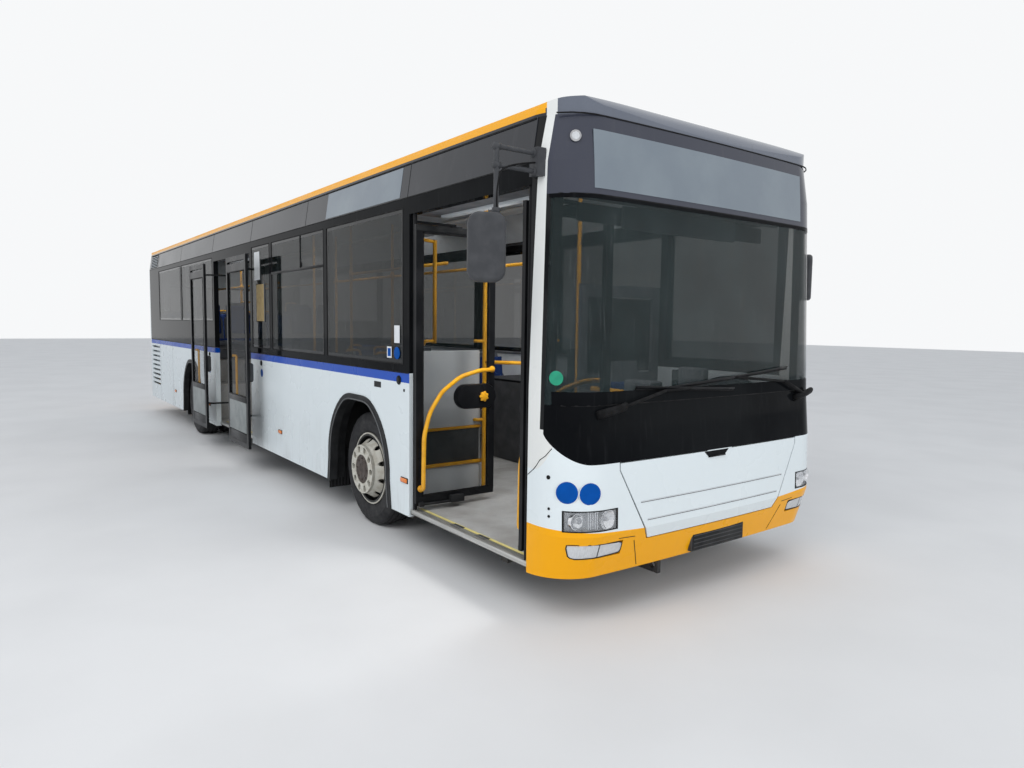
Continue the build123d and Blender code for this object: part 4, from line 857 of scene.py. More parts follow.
# Half a tyre's section of (radius, across), from the bead to the shoulder
SIDEWALL = [
    (0.292, 0.1125), (0.3085, 0.1145), (0.316, 0.1195), (0.318, 0.1225), (0.330, 0.1275), (0.3315, 0.1265),
    (0.360, 0.1345), (0.385, HALF_TYRE), (0.410, 0.1365), (0.4115, 0.1350), (0.435, 0.1285), (0.452, 0.1195),
    (0.466, 0.1130),
]

# Turned parts of the hubs: (radius, distance out of the rim's face or of the twin hub's end)
FRONT_WELL = ((0.1225, -0.0195), (0.203, -0.0195), (0.203, -0.0165), (0.1225, -0.0165))
FRONT_CUP = ((CORE, 0.001), (0.045, 0.001), (0.048, 0.004), (0.070, 0.004),
             (0.073, 0.0005), (0.1215, 0.0005), (0.1215, -0.004), (CORE, -0.004))
REAR_CUP = ((CORE, 0.008), (0.080, 0.008), (0.090, 0.0005), (0.136, 0.0005), (0.1365, -0.012), (CORE, -0.012))


def tyre_profile():
    """A whole section of (radius, across): inner bead, sidewall, grooved tread, sidewall, outer bead."""
    tread = [(SHOULDER_R, TREAD_HALF)]
    for middle in GROOVES:
        outer = middle + GROOVE_W / 2
        inner = middle - GROOVE_W / 2
        top = TYRE_R - 0.004 * (middle / TREAD_HALF) ** 2 - 0.0006
        tread += [(top, outer), (top - GROOVE_D, outer - 0.0015), (top - GROOVE_D, inner + 0.0015), (top, inner)]
        if middle == GROOVES[1]:
            tread.append((TYRE_R - 0.0005, 0.0))
    tread.append((SHOULDER_R, -TREAD_HALF))
    return SIDEWALL + tread + [(r, -y) for r, y in reversed(SIDEWALL)]


def tyre(x, y):
    """A tyre with grooved tread, shoulder cuts and moulded rings."""
    profile = tyre_profile()
    cut = [i for i, (r, across) in enumerate(profile) if r > 0.45 and abs(across) > 0.1]
    bm = lathe(profile, TREAD_STEPS, closed=True, dent=lambda i, k: 0.004 if k in cut and i % 4 == 0 else 0.0)
    return shifted(bm, x, y, AXLE_Z)


def bolt_ring(y_in, y_out):
    """The flat ring over the wheel nuts, with a hole over each."""
    bm = bmesh.new()
    inner, outer, hole = 0.122, 0.204, 0.0285
    arc = 6
    width = pi / HOLES
    for i in range(HOLES):
        middle = 2 * pi * i / HOLES
        turns = [middle - width + 2 * width * k / arc for k in range(arc + 1)]
        edge = [(outer * cos(t), outer * sin(t)) for t in turns]
        edge += [(inner * cos(t), inner * sin(t)) for t in reversed(turns)]
        cx, cz = BOLT_R * cos(middle), BOLT_R * sin(middle)
        ring = []
        for x, z in edge:
            run = sqrt((x - cx) ** 2 + (z - cz) ** 2)
            ring.append((cx + (x - cx) / run * hole, cz + (z - cz) / run * hole))
        rows = [[bm.verts.new((x, y, z)) for x, z in points]
                for points, y in ((edge, y_in), (edge, y_out), (ring, y_out), (ring, y_in))]
        join_rings(bm, rows[0], rows[1], skip=(arc, len(edge) - 1))
        join_rings(bm, rows[1], rows[2])
        join_rings(bm, rows[2], rows[3])
    bmesh.ops.remove_doubles(bm, verts=bm.verts[:], dist=1e-5)
    return outward(bm)


def nuts(radius, count, size, y_in, y_out):
    """A ring of hexagon nuts with their studs."""
    bm = bmesh.new()
    for i in range(count):
        turn = 2 * pi * i / count
        for sides, r, reach in ((6, size, y_out), (12, size * 0.55, y_out + (y_out - y_in) * 0.35)):
            form = lathe([(0.0004, y_in), (r, y_in), (r, reach - (reach - y_in) * 0.15), (r * 0.86, reach),
                          (0.0004, reach)], sides)
            merge(bm, shifted(form, radius * cos(turn), 0, radius * sin(turn)))
            form.free()
    return bm


def turned_part(profile, base, closed=False):
    return lathe([(r, base + out) for r, out in profile], 48, closed)


def wheels():
    """Tyres with tread, and the nuts, rings and cups of the hubs."""
    front_y = -centre("front_tyre_right").y
    hub = -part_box("front_rim_right")[0].y
    for side, s in SIDES:
        node = "front_tyre_" + side
        body = "front_wheel_" + side
        Piece(node + "_tread", body).add(tyre(FRONT_AXLE_X, s * front_y), TYRE).done("tyre", [node])
        Piece("front_hub_" + side, body).turned(
            FRONT_AXLE_X, s,
            (bolt_ring(hub - NUT_FOOT, hub + 0.006), RIM),
            # The well behind the bolt ring and the nuts in its holes are near-black: painted shade of the nut
            # recesses.
            (turned_part(FRONT_WELL, hub, closed=True), RUBBER),
            (nuts(BOLT_R, HOLES, 0.0150, hub - NUT_FOOT, hub - 0.012), RUBBER),
            (turned_part(FRONT_CUP, hub), HUB),
            (nuts(0.092, 8, 0.008, hub, hub + 0.007), HUB),
        ).done("rim_silver")

        node = "rear_tyres_" + side
        body = "rear_wheels_" + side
        low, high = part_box(node)
        near, far = sorted((abs(low.y), abs(high.y)))
        piece = Piece(node + "_tread", body)
        for y in (far - HALF_TYRE, near + HALF_TYRE):
            piece.add(tyre(REAR_AXLE_X, s * y), TYRE)
        piece.done("tyre", [node])
        disc = (near + far) / 2 + 0.012
        end = (near + far) / 2 + 0.160
        Piece("rear_hub_" + side, body).turned(
            REAR_AXLE_X, s,
            (nuts(BOLT_R, HOLES, 0.0155, disc, disc + 0.022), STEEL),
            (turned_part(REAR_CUP, end), HUB),
            (nuts(0.112, 10, 0.009, end, end + 0.008), STEEL),
        ).done("rim_silver")


# Front

HEAD_LAMP = (0.880, 1.190, 0.570, 0.690)
LAMP_RIM = 0.006

# Fog lamp: distance across, height of its lower and of its upper edge
FOG_BAR = 0.998
FOG_LAMP = (
    (1.166, 0.474, 0.496), (1.152, 0.428, 0.497), (1.140, 0.416, 0.497), (1.120, 0.410, 0.496),
    (FOG_BAR, 0.411, 0.491), (0.990, 0.411, 0.491), (0.852, 0.415, 0.484), (0.832, 0.418, 0.478),
    (0.824, 0.430, 0.468),
)
FOG_CORNERS = (
    ((1.168, 0.402), (1.120, 0.402), (1.120, 0.410), (1.140, 0.416)),
    ((1.168, 0.402), (1.140, 0.416), (1.152, 0.428), (1.168, 0.474)),
)

# The seam that runs round the corner from the flap's height to the windscreen
CORNER_SEAM = ((1.2499, 0.902), (1.2485, 0.925), (1.2450, 0.958), (1.2350, 0.985), (1.2190, 1.030))


def bowl(place, radius, depth):
    """A round reflector bowl facing forward."""
    bm = lathe([(0.004, -depth), (radius * 0.45, -depth * 0.86), (radius * 0.8, -depth * 0.5), (radius, 0.0),
                (radius + 0.004, 0.0), (radius + 0.004, -depth)], 40)
    return moved(bm, at(*place) @ about("Z", -90))


def head_lamps():
    """Lamp bowls behind clear lenses in the front corners, and ribbed fog lamps under them."""
    y0, y1, z0, z1 = HEAD_LAMP
    for side, s in SIDES:
        piece = Piece("head_lamp_" + side)
        window = oblong(s * y1, s * y0, z0, z1)
        piece.add(front_sheet(window, -0.030, 0.008), LAMP_BACK)
        piece.add(front_sheet(window, -0.0005, 0.004), LENS)
        for y, radius in ((0.948, 0.052), (1.132, 0.042)):
            spot = front_point(s * y, (z0 + z1) / 2, -0.006)
            piece.add(bowl(spot, radius, 0.022), CHROME)
            bulb = lathe([(CORE, -0.004), (0.010, -0.004), (0.012, 0.004), (CORE, 0.010)], 20)
            piece.add(shifted(bulb, spot.x - 0.012, spot.y, spot.z), STEEL)
        for k in range(5):
            y = 1.014 + k * 0.014
            rib = oblong(s * y, s * (y + 0.004), z0 + LAMP_RIM, z1 - LAMP_RIM)
            piece.add(front_sheet(rib, -0.018, 0.012, 1, 4), CHROME)
        for a, b, c, d in ((y0, y1, z0, z0 + LAMP_RIM), (y0, y1, z1 - LAMP_RIM, z1),
                           (y0, y0 + 2 * LAMP_RIM, z0, z1), (y1 - LAMP_RIM, y1, z0, z1)):
            piece.add(front_sheet(oblong(s * b, s * a, c, d), 0.0012, 0.02), RUBBER)
        piece.done("lamp", ["front_lamps"])

        piece = Piece("fog_lamp_" + side)
        for (b, b0, b1), (a, a0, a1) in zip(FOG_LAMP, FOG_LAMP[1:]):
            corners = [(s * b, b0), (s * a, a0), (s * a, a1), (s * b, b1)]
            piece.add(front_sheet(corners, -0.002, 0.02, 4, 3), DASH if b == FOG_BAR else FOG_LENS)
        for corners in FOG_CORNERS:
            piece.add(front_sheet([(s * y, z) for y, z in corners], 0.0006, 0.003, 4, 3), PAINT)
        # A dark strip round the fog lamp's outline: painted shade of the recess it sits in.
        lower = [(s * y, low) for y, low, high in FOG_LAMP]
        upper = [(s * y, high) for y, low, high in reversed(FOG_LAMP)]
        piece.add(front_strip(lower + upper + lower[:1], 0.005, 0.0008), LIP)
        piece.done("lamp", ["front_lamps"])


def front_trim():
    """Glass edging, seams, grooves, a painted shadow line on the bumper, plate, badges and plugs on the front."""
    edge = 1.215
    piece = Piece("screen_border")
    for z0, z1 in ((SCREEN_TOP_Z - 0.022, SCREEN_TOP_Z), (SCREEN_LOW_Z, SCREEN_LOW_Z + 0.075)):
        piece.add(front_sheet(oblong(-edge, edge, z0, z1), 0.0018, 0.004, 96, 2), BLACK)
    piece.done("band_black")

    piece = Piece("front_seams")
    for z in (SCREEN_LOW_Z, SCREEN_TOP_Z, CANTRAIL_Z):
        piece.add(front_strip([(-1.186, z), (1.186, z)], 0.007, 0.0024), RUBBER)
    for s in (-1, 1):
        start = Vector((NOSE_X + 0.004, s * (SIDE_Y + 0.0006), 0.860))
        seam = [start] + [front_point(s * y, z, 0.0006) for y, z in CORNER_SEAM]
        piece.add(tube(seam, 0.0022, 0, 6), RUBBER)
    piece.done("rubber")

    piece = Piece("display_window")
    piece.add(front_sheet(oblong(-1.02, 0.94, 2.455, 2.77), 0.0030, 0.005, 96, 6), SIGN_GLASS)
    piece.done("glass")

    piece = Piece("display_lamp")
    place = out_of_front(-1.113, 2.726)
    piece.add(disc_on(place, 0.031, 0.004), STEEL)
    piece.add(disc_on(place, 0.022, 0.006, 0.002), FOG_LENS)
    piece.done("lamp")

    piece = Piece("front_signs")
    for y, z in ((-1.172, 0.792), (-1.068, 0.786)):
        piece.add(disc_on(out_of_front(y, z), 0.065, 0.0010), SIGN_WHITE)
        piece.add(disc_on(out_of_front(y, z), 0.062, 0.0016), SIGN_BLUE)
    piece.add(disc_on(out_of_front(-1.200, 1.420), 0.040, 0.0016), SIGN_GREEN)
    for y, z, r in ((-1.229, 0.869, 0.012), (-1.228, 0.693, 0.008), (-1.228, 0.650, 0.008)):
        piece.add(disc_on(out_of_front(y, z), r, 0.003, 0.002, 20), RUBBER)
    piece.done("body_white")

    piece = Piece("bumper_seam_and_painted_shadow")
    piece.add(front_strip([(-0.731, 0.474), (-0.653, 0.300)], 0.005, 0.0008), RUBBER, both=True)
    # A dark strip under the bumper's step above each fog lamp: a painted shadow line.
    piece.add(front_strip([(-0.731, 0.500), (-0.860, 0.507)], 0.004, 0.0012), LIP, both=True)
    piece.done("rubber")

    piece = Piece("flap_grooves", "front_flap")
    for z, reach in ((0.700, 0.70), (0.590, 0.645)):
        piece.add(front_strip([(-reach, z), (reach, z)], 0.008, 0.0010), TRIM)
        piece.add(front_strip([(-reach, z - 0.005), (reach, z - 0.005)], 0.003, 0.0014), LIP)
    piece.add(front_sheet([(-0.105, 0.900), (0.045, 0.900), (0.090, 0.938), (-0.150, 0.938)], 0.0015, 0.006), BLACK)
    piece.add(tube([front_point(-0.11, 0.905, 0.004), front_point(0.05, 0.905, 0.004)], 0.006), BLACK)
    piece.done("band_black")

    piece = Piece("number_plate")
    y0, y1, z0, z1 = -0.20, 0.33, 0.300, 0.425
    x = front_point(0.07, 0.36).x
    piece.boxes((DASH, x - 0.02, x + 0.012, y0, y1, z0, z1, 0.006),
                (LIP, x + 0.010, x + 0.015, y0 + 0.008, y1 - 0.008, z0 + 0.008, z1 - 0.008, 0.002))
    for k in range(4):
        z = z0 + 0.025 + k * 0.025
        piece.boxes((DASH, x + 0.013, x + 0.0165, y0 + 0.02, y1 - 0.02, z - 0.003, z + 0.003, 0.001))
    piece.done("band_black")


# Wiper: pivot, elbow, and the blade's two ends, each across and in height
WIPERS = (
    ("right", (-0.920, 1.240), (-0.516, 1.335), (-0.735, 1.362), (0.146, 1.318)),
    ("left", (0.960, 1.240), (0.695, 1.345), (0.757, 1.438), (-0.487, 1.347)),
)


def wipers():
    """Arms with their spindle caps, blades and rubber."""
    for side, pivot, elbow, start, end in WIPERS:
        piece = Piece("wiper_" + side)
        cap = [front_point(pivot[0] + dy, pivot[1] + dz, out) for dy, dz, out in
               ((-0.10, -0.02, 0.012), (0.0, 0.0, 0.026), (0.08, 0.02, 0.032))]
        piece.add(tube(cap, 0.034, 0.04, 14, 0.6), RUBBER)
        joint = front_point(*elbow, 0.034)
        middle = front_point((start[0] + end[0]) / 2, (start[1] + end[1]) / 2, 0.030)
        piece.add(tube([front_point(*pivot, 0.030), joint], 0.015, 0, 10, 0.6), RUBBER)
        piece.add(tube([joint, middle], 0.011, 0, 10, 0.6), RUBBER)
        line = [(*Vector(start).lerp(Vector(end), i / 12), 0.012 + 0.014 * sin(pi * i / 12)) for i in range(13)]
        piece.add(tube([front_point(*p) for p in line], 0.012, 0, 8, 0.6), FRAME_BLACK)
        piece.add(front_strip([(y, z - 0.010) for y, z, out in line], 0.012, 0.012, 0.0), RUBBER)
        piece.done("rubber", ["wipers"])


# Sides

PANES = [pane for pane in islands("glazing") if pane[1].x > REAR_X + 0.3]
REAR_PANE = [pane for pane in islands("glazing") if pane[1].x < REAR_X + 0.3][0]
SASH_PANE = [pane for pane in PANES if pane[0].y < 0 and 1.1 < pane[0].x < 1.3][0]
SIDE_MARKERS = (4.126, 1.361, -1.592, -3.770)
CANTRAIL_JOINTS = (4.17, 2.15, 0.42, -1.28, -3.20, -4.96)


def on_side(x0, x1, z0, z1, proud=0.001, deep=0.003, bevel=0.0, side=-1):
    """A flat box on a side wall, standing out by proud and sunk by deep."""
    return box(x0, x1, side * (SIDE_Y + proud), side * (SIDE_Y - deep), z0, z1, bevel)


def badge(x, z, radius, thick, y=SIDE_Y, dome=0.0):
    """A disc on the right side wall."""
    return disc_on(at(x, -y, z) @ about("Z", 180), radius, thick, dome)


def cantrail_y(z):
    """How far the leaning panel above the windows stands out at a height."""
    return SIDE_Y - CANTRAIL_LEAN * (z - BAND_TOP_Z) / (CANTRAIL_Z - BAND_TOP_Z)


def on_cantrail(outline, side, proud=0.001, deep=0.003):
    """A sheet on the leaning panel above the windows, from an outline of (x, z)."""
    def place(x, z, depth):
        return Vector((x, side * (cantrail_y(z) + proud - depth), z))
    return slab(outline, place, proud + deep)


def side_trim():
    """Window borders, joints, louvres and marker lamps on both sides."""
    for side, s in SIDES:
        piece = Piece("window_borders_" + side)
        for low, high in PANES:
            if low.y * s < 0:
                continue
            face = max(abs(low.y), abs(high.y))
            grow = 0.006
            for x0, x1, z0, z1 in edges(low.x, high.x, low.z, high.z, 0.028):
                piece.add(box(x0, x1, s * (face + 0.0008), s * (face - 0.002), z0, z1, 0), FRIT)
            for bar in edges(low.x - grow, high.x + grow, low.z - grow, high.z + grow, 0.008):
                piece.add(on_side(*bar, 0.0018, 0.003, 0, s), RUBBER)
        piece.add(on_side(REAR_X + 0.22, 4.19, BELT_Z - 0.004, BELT_Z + 0.006, 0.003, 0.004, 0.001, s), RUBBER)
        piece.done("rubber")

        piece = Piece("cantrail_joints_" + side)
        for x in CANTRAIL_JOINTS:
            piece.add(on_cantrail(oblong(x - 0.003, x + 0.003, BAND_TOP_Z, CANTRAIL_Z), s), RUBBER)
        piece.add(on_cantrail(oblong(-5.75, 5.60, BAND_TOP_Z - 0.004, BAND_TOP_Z + 0.004), s, 0.0015), RUBBER)
        piece.add(on_cantrail(oblong(-5.75, 5.60, CANTRAIL_Z - 0.012, CANTRAIL_Z - 0.002), s, 0.004), RUBBER)
        piece.done("rubber")

        piece = Piece("upper_louvre_" + side)
        piece.add(on_cantrail(oblong(-5.62, -5.05, 2.615, 2.835), s, 0.0015), RUBBER)
        for k in range(7):
            z = 2.630 + k * 0.029
            y = cantrail_y(z)
            piece.boxes((TRIM, -5.60, -5.07, s * (y - 0.002), s * (y + 0.010), z, z + 0.010, 0.003))
        piece.done("band_black")

        piece = Piece("side_markers_" + side)
        for x in SIDE_MARKERS:
            piece.add(on_side(x - 0.055, x + 0.055, 0.525, 0.567, 0.004, 0.003, 0.003, s), RUBBER)
            piece.add(on_side(x - 0.048, x + 0.048, 0.530, 0.562, 0.014, 0.0, 0.006, s), AMBER_LENS)
        piece.done("lamp")


def side_fittings():
    """The side destination sign, the sliding sash, buttons, labels, stickers and skirt joints."""
    piece = Piece("side_destination")
    piece.add(on_cantrail(oblong(2.65, 4.05, 2.612, 2.832), -1, 0.0016), SIGN_GLASS)
    piece.done("glass")

    low, high = SASH_PANE
    y0, y1 = -(SIDE_Y + 0.004), -(SIDE_Y - 0.004)
    Piece("sliding_sash").boxes(
        (FRAME_BLACK, low.x, high.x, y0, y1, 2.200, 2.222, 0.002),
        (FRAME_BLACK, 1.995, 2.007, y0, y1, 2.222, high.z, 0.002),
        (FRAME_BLACK, 2.010, 2.024, y0 - 0.004, y1, 2.235, 2.275, 0.002),
    ).done("band_black")

    piece = Piece("door_buttons")
    for x, z, r in ((4.040, 1.286, 0.034), (0.756, 1.240, 0.030), (-1.515, 1.245, 0.028)):
        piece.add(badge(x, z, r, 0.006), RUBBER)
        piece.add(badge(x, z, r * 0.62, 0.011, dome=0.002), LIP)
    piece.add(badge(0.765, 1.130, 0.050, 0.001), SIGN_WHITE)
    piece.add(badge(0.765, 1.130, 0.046, 0.0016), SIGN_BLUE)
    piece.add(badge(-1.530, 1.015, 0.030, 0.0016), SIGN_BLUE)
    piece.add(on_side(-1.60, -1.46, 0.90, 0.96, 0.0012, 0.001), SIGN_WHITE)
    piece.add(on_side(3.62, 3.74, 1.205, 1.250, 0.0012, 0.001), LIP)
    piece.add(badge(4.120, 1.215, 0.012, 0.002), RUBBER)
    piece.done("band_black")

    y = SIDE_Y + 0.002
    piece = Piece("window_labels")
    piece.add(badge(4.010, 1.485, 0.046, 0.001, y), SIGN_BLUE)
    piece.boxes((SIGN_WHITE, 3.850, 3.925, -y - 0.001, -y, 1.445, 1.530, 0),
                (SIGN_BLUE, 3.862, 3.913, -y - 0.0016, -y, 1.457, 1.518, 0),
                (SIGN_WHITE, 3.970, 4.055, -y - 0.001, -y, 1.560, 1.690, 0))
    piece.done("glass")

    piece = Piece("window_board")
    piece.add(on_side(0.622, 0.885, 1.705, 2.110, 0.0022, 0.002), STRAW)
    piece.add(on_side(0.602, 0.622, 1.695, 2.120, 0.0028, 0.002), CAB)
    piece.add(on_side(0.885, 0.903, 1.695, 2.120, 0.0028, 0.002), CAB)
    piece.add(on_side(0.560, 0.742, 2.160, 2.470, 0.0020, 0.002), SIGN_WHITE)
    piece.done("cab_grey")

    piece = Piece("skirt_joints")
    for x, s in ((2.40, 1), (0.55, 1), (-0.90, 1), (-4.00, 1), (-4.95, 1), (-4.95, -1), (-3.95, -1)):
        piece.add(on_side(x - 0.002, x + 0.002, SKIRT_Z + 0.005, 1.268, 0.0006, 0.002, 0, s), LIP)
    for x0, x1 in ((-0.90, 0.55), (0.55, 2.40), (-4.95, -4.00)):
        piece.add(on_side(x0, x1, 0.9280, 0.9320, 0.0006, 0.002, 0, 1), LIP)
    piece.add(on_side(4.42, 4.62, 0.80, 1.00, 0.0007, 0.002, 0, 1), LIP)
    piece.add(on_side(4.424, 4.616, 0.804, 0.996, 0.0012, 0.002, 0, 1), PAINT)
    piece.done("rubber")


def arc_through(a, b, c, count):
    """Points on the circle through three points, from the first to the last."""
    a, b, c = Vector(a), Vector(b), Vector(c)
    d = 2 * (a.x * (b.y - c.y) + b.x * (c.y - a.y) + c.x * (a.y - b.y))
    mid = Vector((
        (a.length_squared * (b.y - c.y) + b.length_squared * (c.y - a.y) + c.length_squared * (a.y - b.y)) / d,
        (a.length_squared * (c.x - b.x) + b.length_squared * (a.x - c.x) + c.length_squared * (b.x - a.x)) / d,
    ))
    start = a - mid
    total = start.angle_signed(c - mid)
    return [mid + Matrix.Rotation(-total * i / count, 2) @ start for i in range(count + 1)]


def arch_line(grow):
    """The wheel arch's edge as (along, height) points, seen from its own axle, grown by a margin."""
    half = arc_through((-0.600 - grow, 0.500), (-0.434 - grow * 0.7, 0.955 + grow * 0.7),
                       (-0.190, 1.110 + grow * 0.85), 10)
    corner = half.pop()
    start, end = half[-1], Vector((-0.100, corner.y))
    half += [start.lerp(corner, t).lerp(corner.lerp(end, t), t) for t in (0.25, 0.5, 0.75, 1.0)]
    left = [Vector((-0.628 - grow, SKIRT_Z))] + half
    return left + [Vector((-p.x, p.y)) for p in reversed(left)]


# Bands of an arch: how far the outer line is grown, thickness, inner and outer distance across, material
ARCH_BANDS = (
    (-0.002, 0.008, 1.10, SIDE_Y - 0.020, LIP),
    (0.060, 0.058, SIDE_Y - 0.002, SIDE_Y + 0.0006, PAINT),
    (0.004, 0.050, SIDE_Y - 0.020, SIDE_Y + 0.008, LIP),
    (-0.046, 0.012, SIDE_Y - 0.060, SIDE_Y + 0.012, LIP),
    # The last band is a painted highlight along the lip's edge.
    (-0.044, 0.006, SIDE_Y + 0.006, SIDE_Y + 0.0135, LIP_HIGHLIGHT),
)


def arches():
    """Lips and dark linings of the wheel arches, a painted highlight along the lips' edge, and mud flaps."""
    for axle, name in ((FRONT_AXLE_X, "front"), (REAR_AXLE_X, "rear")):
        piece = Piece(name + "_arch_lining")
        for s in (-1, 1):
            for grow, thick, y_in, y_out, material in ARCH_BANDS:
                y0, y1 = sorted((s * y_in, s * y_out))
                rows = [[(axle + p.x, y, p.y) for p, y in ((a, y0), (a, y1), (b, y1), (b, y0))]
                        for a, b in zip(arch_line(grow - thick), arch_line(grow))]
                piece.add(outward(loft(rows)), material)
            if name == "front":
                x = axle - 0.640
                piece.boxes((RUBBER, x, x + 0.012, s * 0.93, s * 1.235, 0.200, 0.560, 0.003))
                for k in range(9):
                    y = 0.955 + k * 0.032
                    piece.boxes((LIP, x + 0.010, x + 0.020, s * y, s * (y + 0.012), 0.210, 0.550, 0.003))
            else:
                x = axle - 0.655
                piece.boxes((RUBBER, x, x + 0.012, s * 0.62, s * 1.19, 0.210, 0.500, 0.003))
        piece.done("rubber", ["arch_lips"])


# Rear

def rear_box(y0, y1, z0, z1, proud, deep=0.003, bevel=0.002):
    return box(REAR_X - proud, REAR_X + deep, y0, y1, z0, z1, bevel)


def rear_disc(x, y, z, radius, thick, dome):
    return disc_on(at(x, y, z) @ about("Z", 90), radius, thick, dome)


def rear():
    """Lamps, grille, plate, window edging and seams of the back."""
    piece = Piece("rear_lamp_units")
    for s in (-1, 1):
        piece.add(rear_box(s * 1.006, s * 1.134, 0.614, 1.186, 0.008, 0.004, 0.006), RUBBER)
        for k, lens in enumerate((RED_LENS, FOG_LENS, AMBER_LENS, RED_LENS)):
            place = (REAR_X - 0.006, s * 1.07, 0.692 + k * 0.139)
            piece.add(rear_disc(*place, 0.060, 0.008, 0.002), STEEL)
            piece.add(rear_disc(*place, 0.054, 0.010, 0.004), lens)
    piece.done("rear_lamp", ["rear_lamps"])

    piece = Piece("rear_trim")
    low, high = REAR_PANE
    for bar in edges(low.y, high.y, low.z, high.z, 0.030, lapped=True):
        piece.add(rear_box(*bar, 0.002), RUBBER)
    for z in (0.530, 1.290):
        piece.add(rear_box(-1.10, 1.10, z, z + 0.006, 0.0012), RUBBER)
    piece.add(rear_box(-0.60, 0.60, 2.45, 2.66, 0.004, 0.003, 0.003), BLACK)
    piece.add(rear_box(-0.28, 0.28, 2.385, 2.415, 0.008, 0.003, 0.004), RED_LENS)
    for s in (-1, 1):
        piece.add(rear_box(s * 0.98, s * 1.10, 0.340, 0.400, 0.006, 0.003, 0.004), RED_LENS)
        piece.add(rear_disc(REAR_X, s * 1.07, 2.62, 0.040, 0.012, 0.003), RED_LENS)
    piece.add(tube([(REAR_X - 0.004, -0.35, 2.36), (REAR_X - 0.012, 0.0, 2.05)], 0.008), LIP)
    piece.done("rubber")

    piece = Piece("engine_lid_trim", "engine_lid")
    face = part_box("engine_lid")[0].x + 0.004
    for k in range(9):
        z = 0.760 + k * 0.038
        piece.boxes((LIP, face - 0.011, face + 0.006, -0.80, 0.80, z, z + 0.014, 0.004))
    piece.boxes((DASH, face - 0.005, face + 0.003, -0.27, 0.27, 0.520, 0.640, 0.004),
                (SIGN_WHITE, face - 0.007, face + 0.003, -0.26, 0.26, 0.528, 0.632, 0.002))
    for s in (-1, 1):
        piece.boxes((FRAME_BLACK, face - 0.009, face + 0.003, s * 0.62, s * 0.70, 0.475, 0.500, 0.004))
    piece.done("band_black")


# Roof and mirrors

def roof_detail():
    """Raised lids on the hatches, seams across the roof and an antenna foot."""
    piece = Piece("hatch_lids")
    for low, high in islands("roof_hatches"):
        z = high.z
        piece.boxes((TRIM, low.x + 0.05, high.x - 0.05, low.y + 0.05, high.y - 0.05, z - 0.004, z + 0.010, 0.008))
        for k in range(4):
            x = low.x + 0.18 + k * 0.175
            piece.boxes((TRIM, x, x + 0.04, low.y + 0.10, high.y - 0.10, z + 0.006, z + 0.014, 0.004))
    piece.done("roof_white")

    piece = Piece("roof_fittings")
    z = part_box("roof")[1].z
    foot = lathe([(CORE, 0), (0.045, 0), (0.040, 0.012), (0.015, 0.020), (CORE, 0.020)], 32)
    piece.add(moved(foot, at(4.6, 0, z - 0.001) @ about("X", 90)), RUBBER)
    for x in (4.0, 2.9, 0.6, -0.9, -2.3, -4.6):
        piece.boxes((RUBBER, x - 0.004, x + 0.004, -0.95, 0.95, z - 0.004, z + 0.0025, 0.001))
    piece.done("roof_white")


MIRROR_TURN = 30
MIRROR_OUT = SIDE_Y + 0.334
MIRROR_BACK = -0.055
MIRROR_POST = 0.275
MIRROR_ARM_Z = (BAND_TOP_Z - 0.060, BAND_TOP_Z + 0.036)


def mirrors():
    """Glass on the backs of the mirrors, and caps, bolts and cables on their brackets."""
    for low, high in islands("mirrors"):
        side, s = SIDES[1] if low.y > 0 else SIDES[0]
        x = (low.x + high.x) / 2
        back = MIRROR_BACK
        head = at(x, s * MIRROR_OUT, 0) @ about("Z", s * MIRROR_TURN)
        piece = Piece("mirror_detail_" + side)
        for z0, z1 in ((2.060, 2.262), (1.956, 2.044)):
            piece.add(moved(box(back - 0.004, back + 0.004, -0.078, 0.078, z0, z1, 0.003), head), RUBBER)
            pane = box(back - 0.006, back + 0.004, -0.073, 0.073, z0 + 0.005, z1 - 0.005, 0.002)
            piece.add(moved(pane, head), MIRROR_GLASS)

        def bar(points, *size):
            return tube([(x + ahead, s * (SIDE_Y + out), z) for ahead, out, z in points], *size)

        for z in MIRROR_ARM_Z:
            piece.add(bar([(0, 0.005, z), (0, 0.035, z)], 0.024), MIRROR_SHELL)
            piece.add(bar([(0, MIRROR_POST - 0.020, z), (0, MIRROR_POST + 0.020, z)], 0.019), MIRROR_SHELL)
        piece.add(bar([(0, MIRROR_POST, 2.286), (0, MIRROR_POST, 2.320)], 0.022), MIRROR_SHELL)
        cable = [(0.012, MIRROR_POST * reach, z) for reach, z in
                 ((0.0, 2.590), (0.55, 2.560), (0.95, 2.520), (1.02, 2.400), (1.01, 2.300))]
        piece.add(bar(cable, 0.005, 0.06, 8), RUBBER)
        piece.done("mirror_grey")


# Doors

# The curved handrail on a front leaf: 1 where it stands off the leaf and 0 on it, distance across, height
HANDRAIL = (
    (0, -1.205, 0.509), (1, -1.205, 0.509), (1, -1.200, 0.898), (1, -1.154, 1.066), (1, -1.052, 1.213),
    (1, -0.894, 1.318), (1, -0.720, 1.361), (1, -0.600, 1.363), (0, -0.585, 1.363),
)
HANDRAIL_OUT = 0.042
KNOB_STEPS = 28


def pod(place, deep, long, tall):
    """A rounded housing on a door leaf; +X is away from the leaf."""
    form = lathe([(CORE, 0.0), (1.0, 0.0), (1.0, 0.72), (0.93, 0.95), (CORE, 1.0)], 40)
    moved(form, about("Z", -90))
    reach = (long - tall) / 2
    for vertex in form.verts:
        x, y, z = vertex.co
        shift = reach if y > 0.001 else -reach if y < -0.001 else 0
        vertex.co = Vector((x * deep, y * tall / 2 + shift, z * tall / 2))
    return shifted(form, *place)


def knob(place):
    """A round knob with seven lobes."""
    def dent(i, k):
        return 0.010 * (0.5 - 0.5 * cos(2 * pi * i * 7 / KNOB_STEPS)) if 0 < k < 5 else 0
    form = lathe([(CORE, 0), (0.034, 0), (0.041, 0.008), (0.041, 0.018), (0.032, 0.024), (CORE, 0.026)],
                 KNOB_STEPS, dent=dent)
    return moved(form, at(*place) @ about("Z", -90))


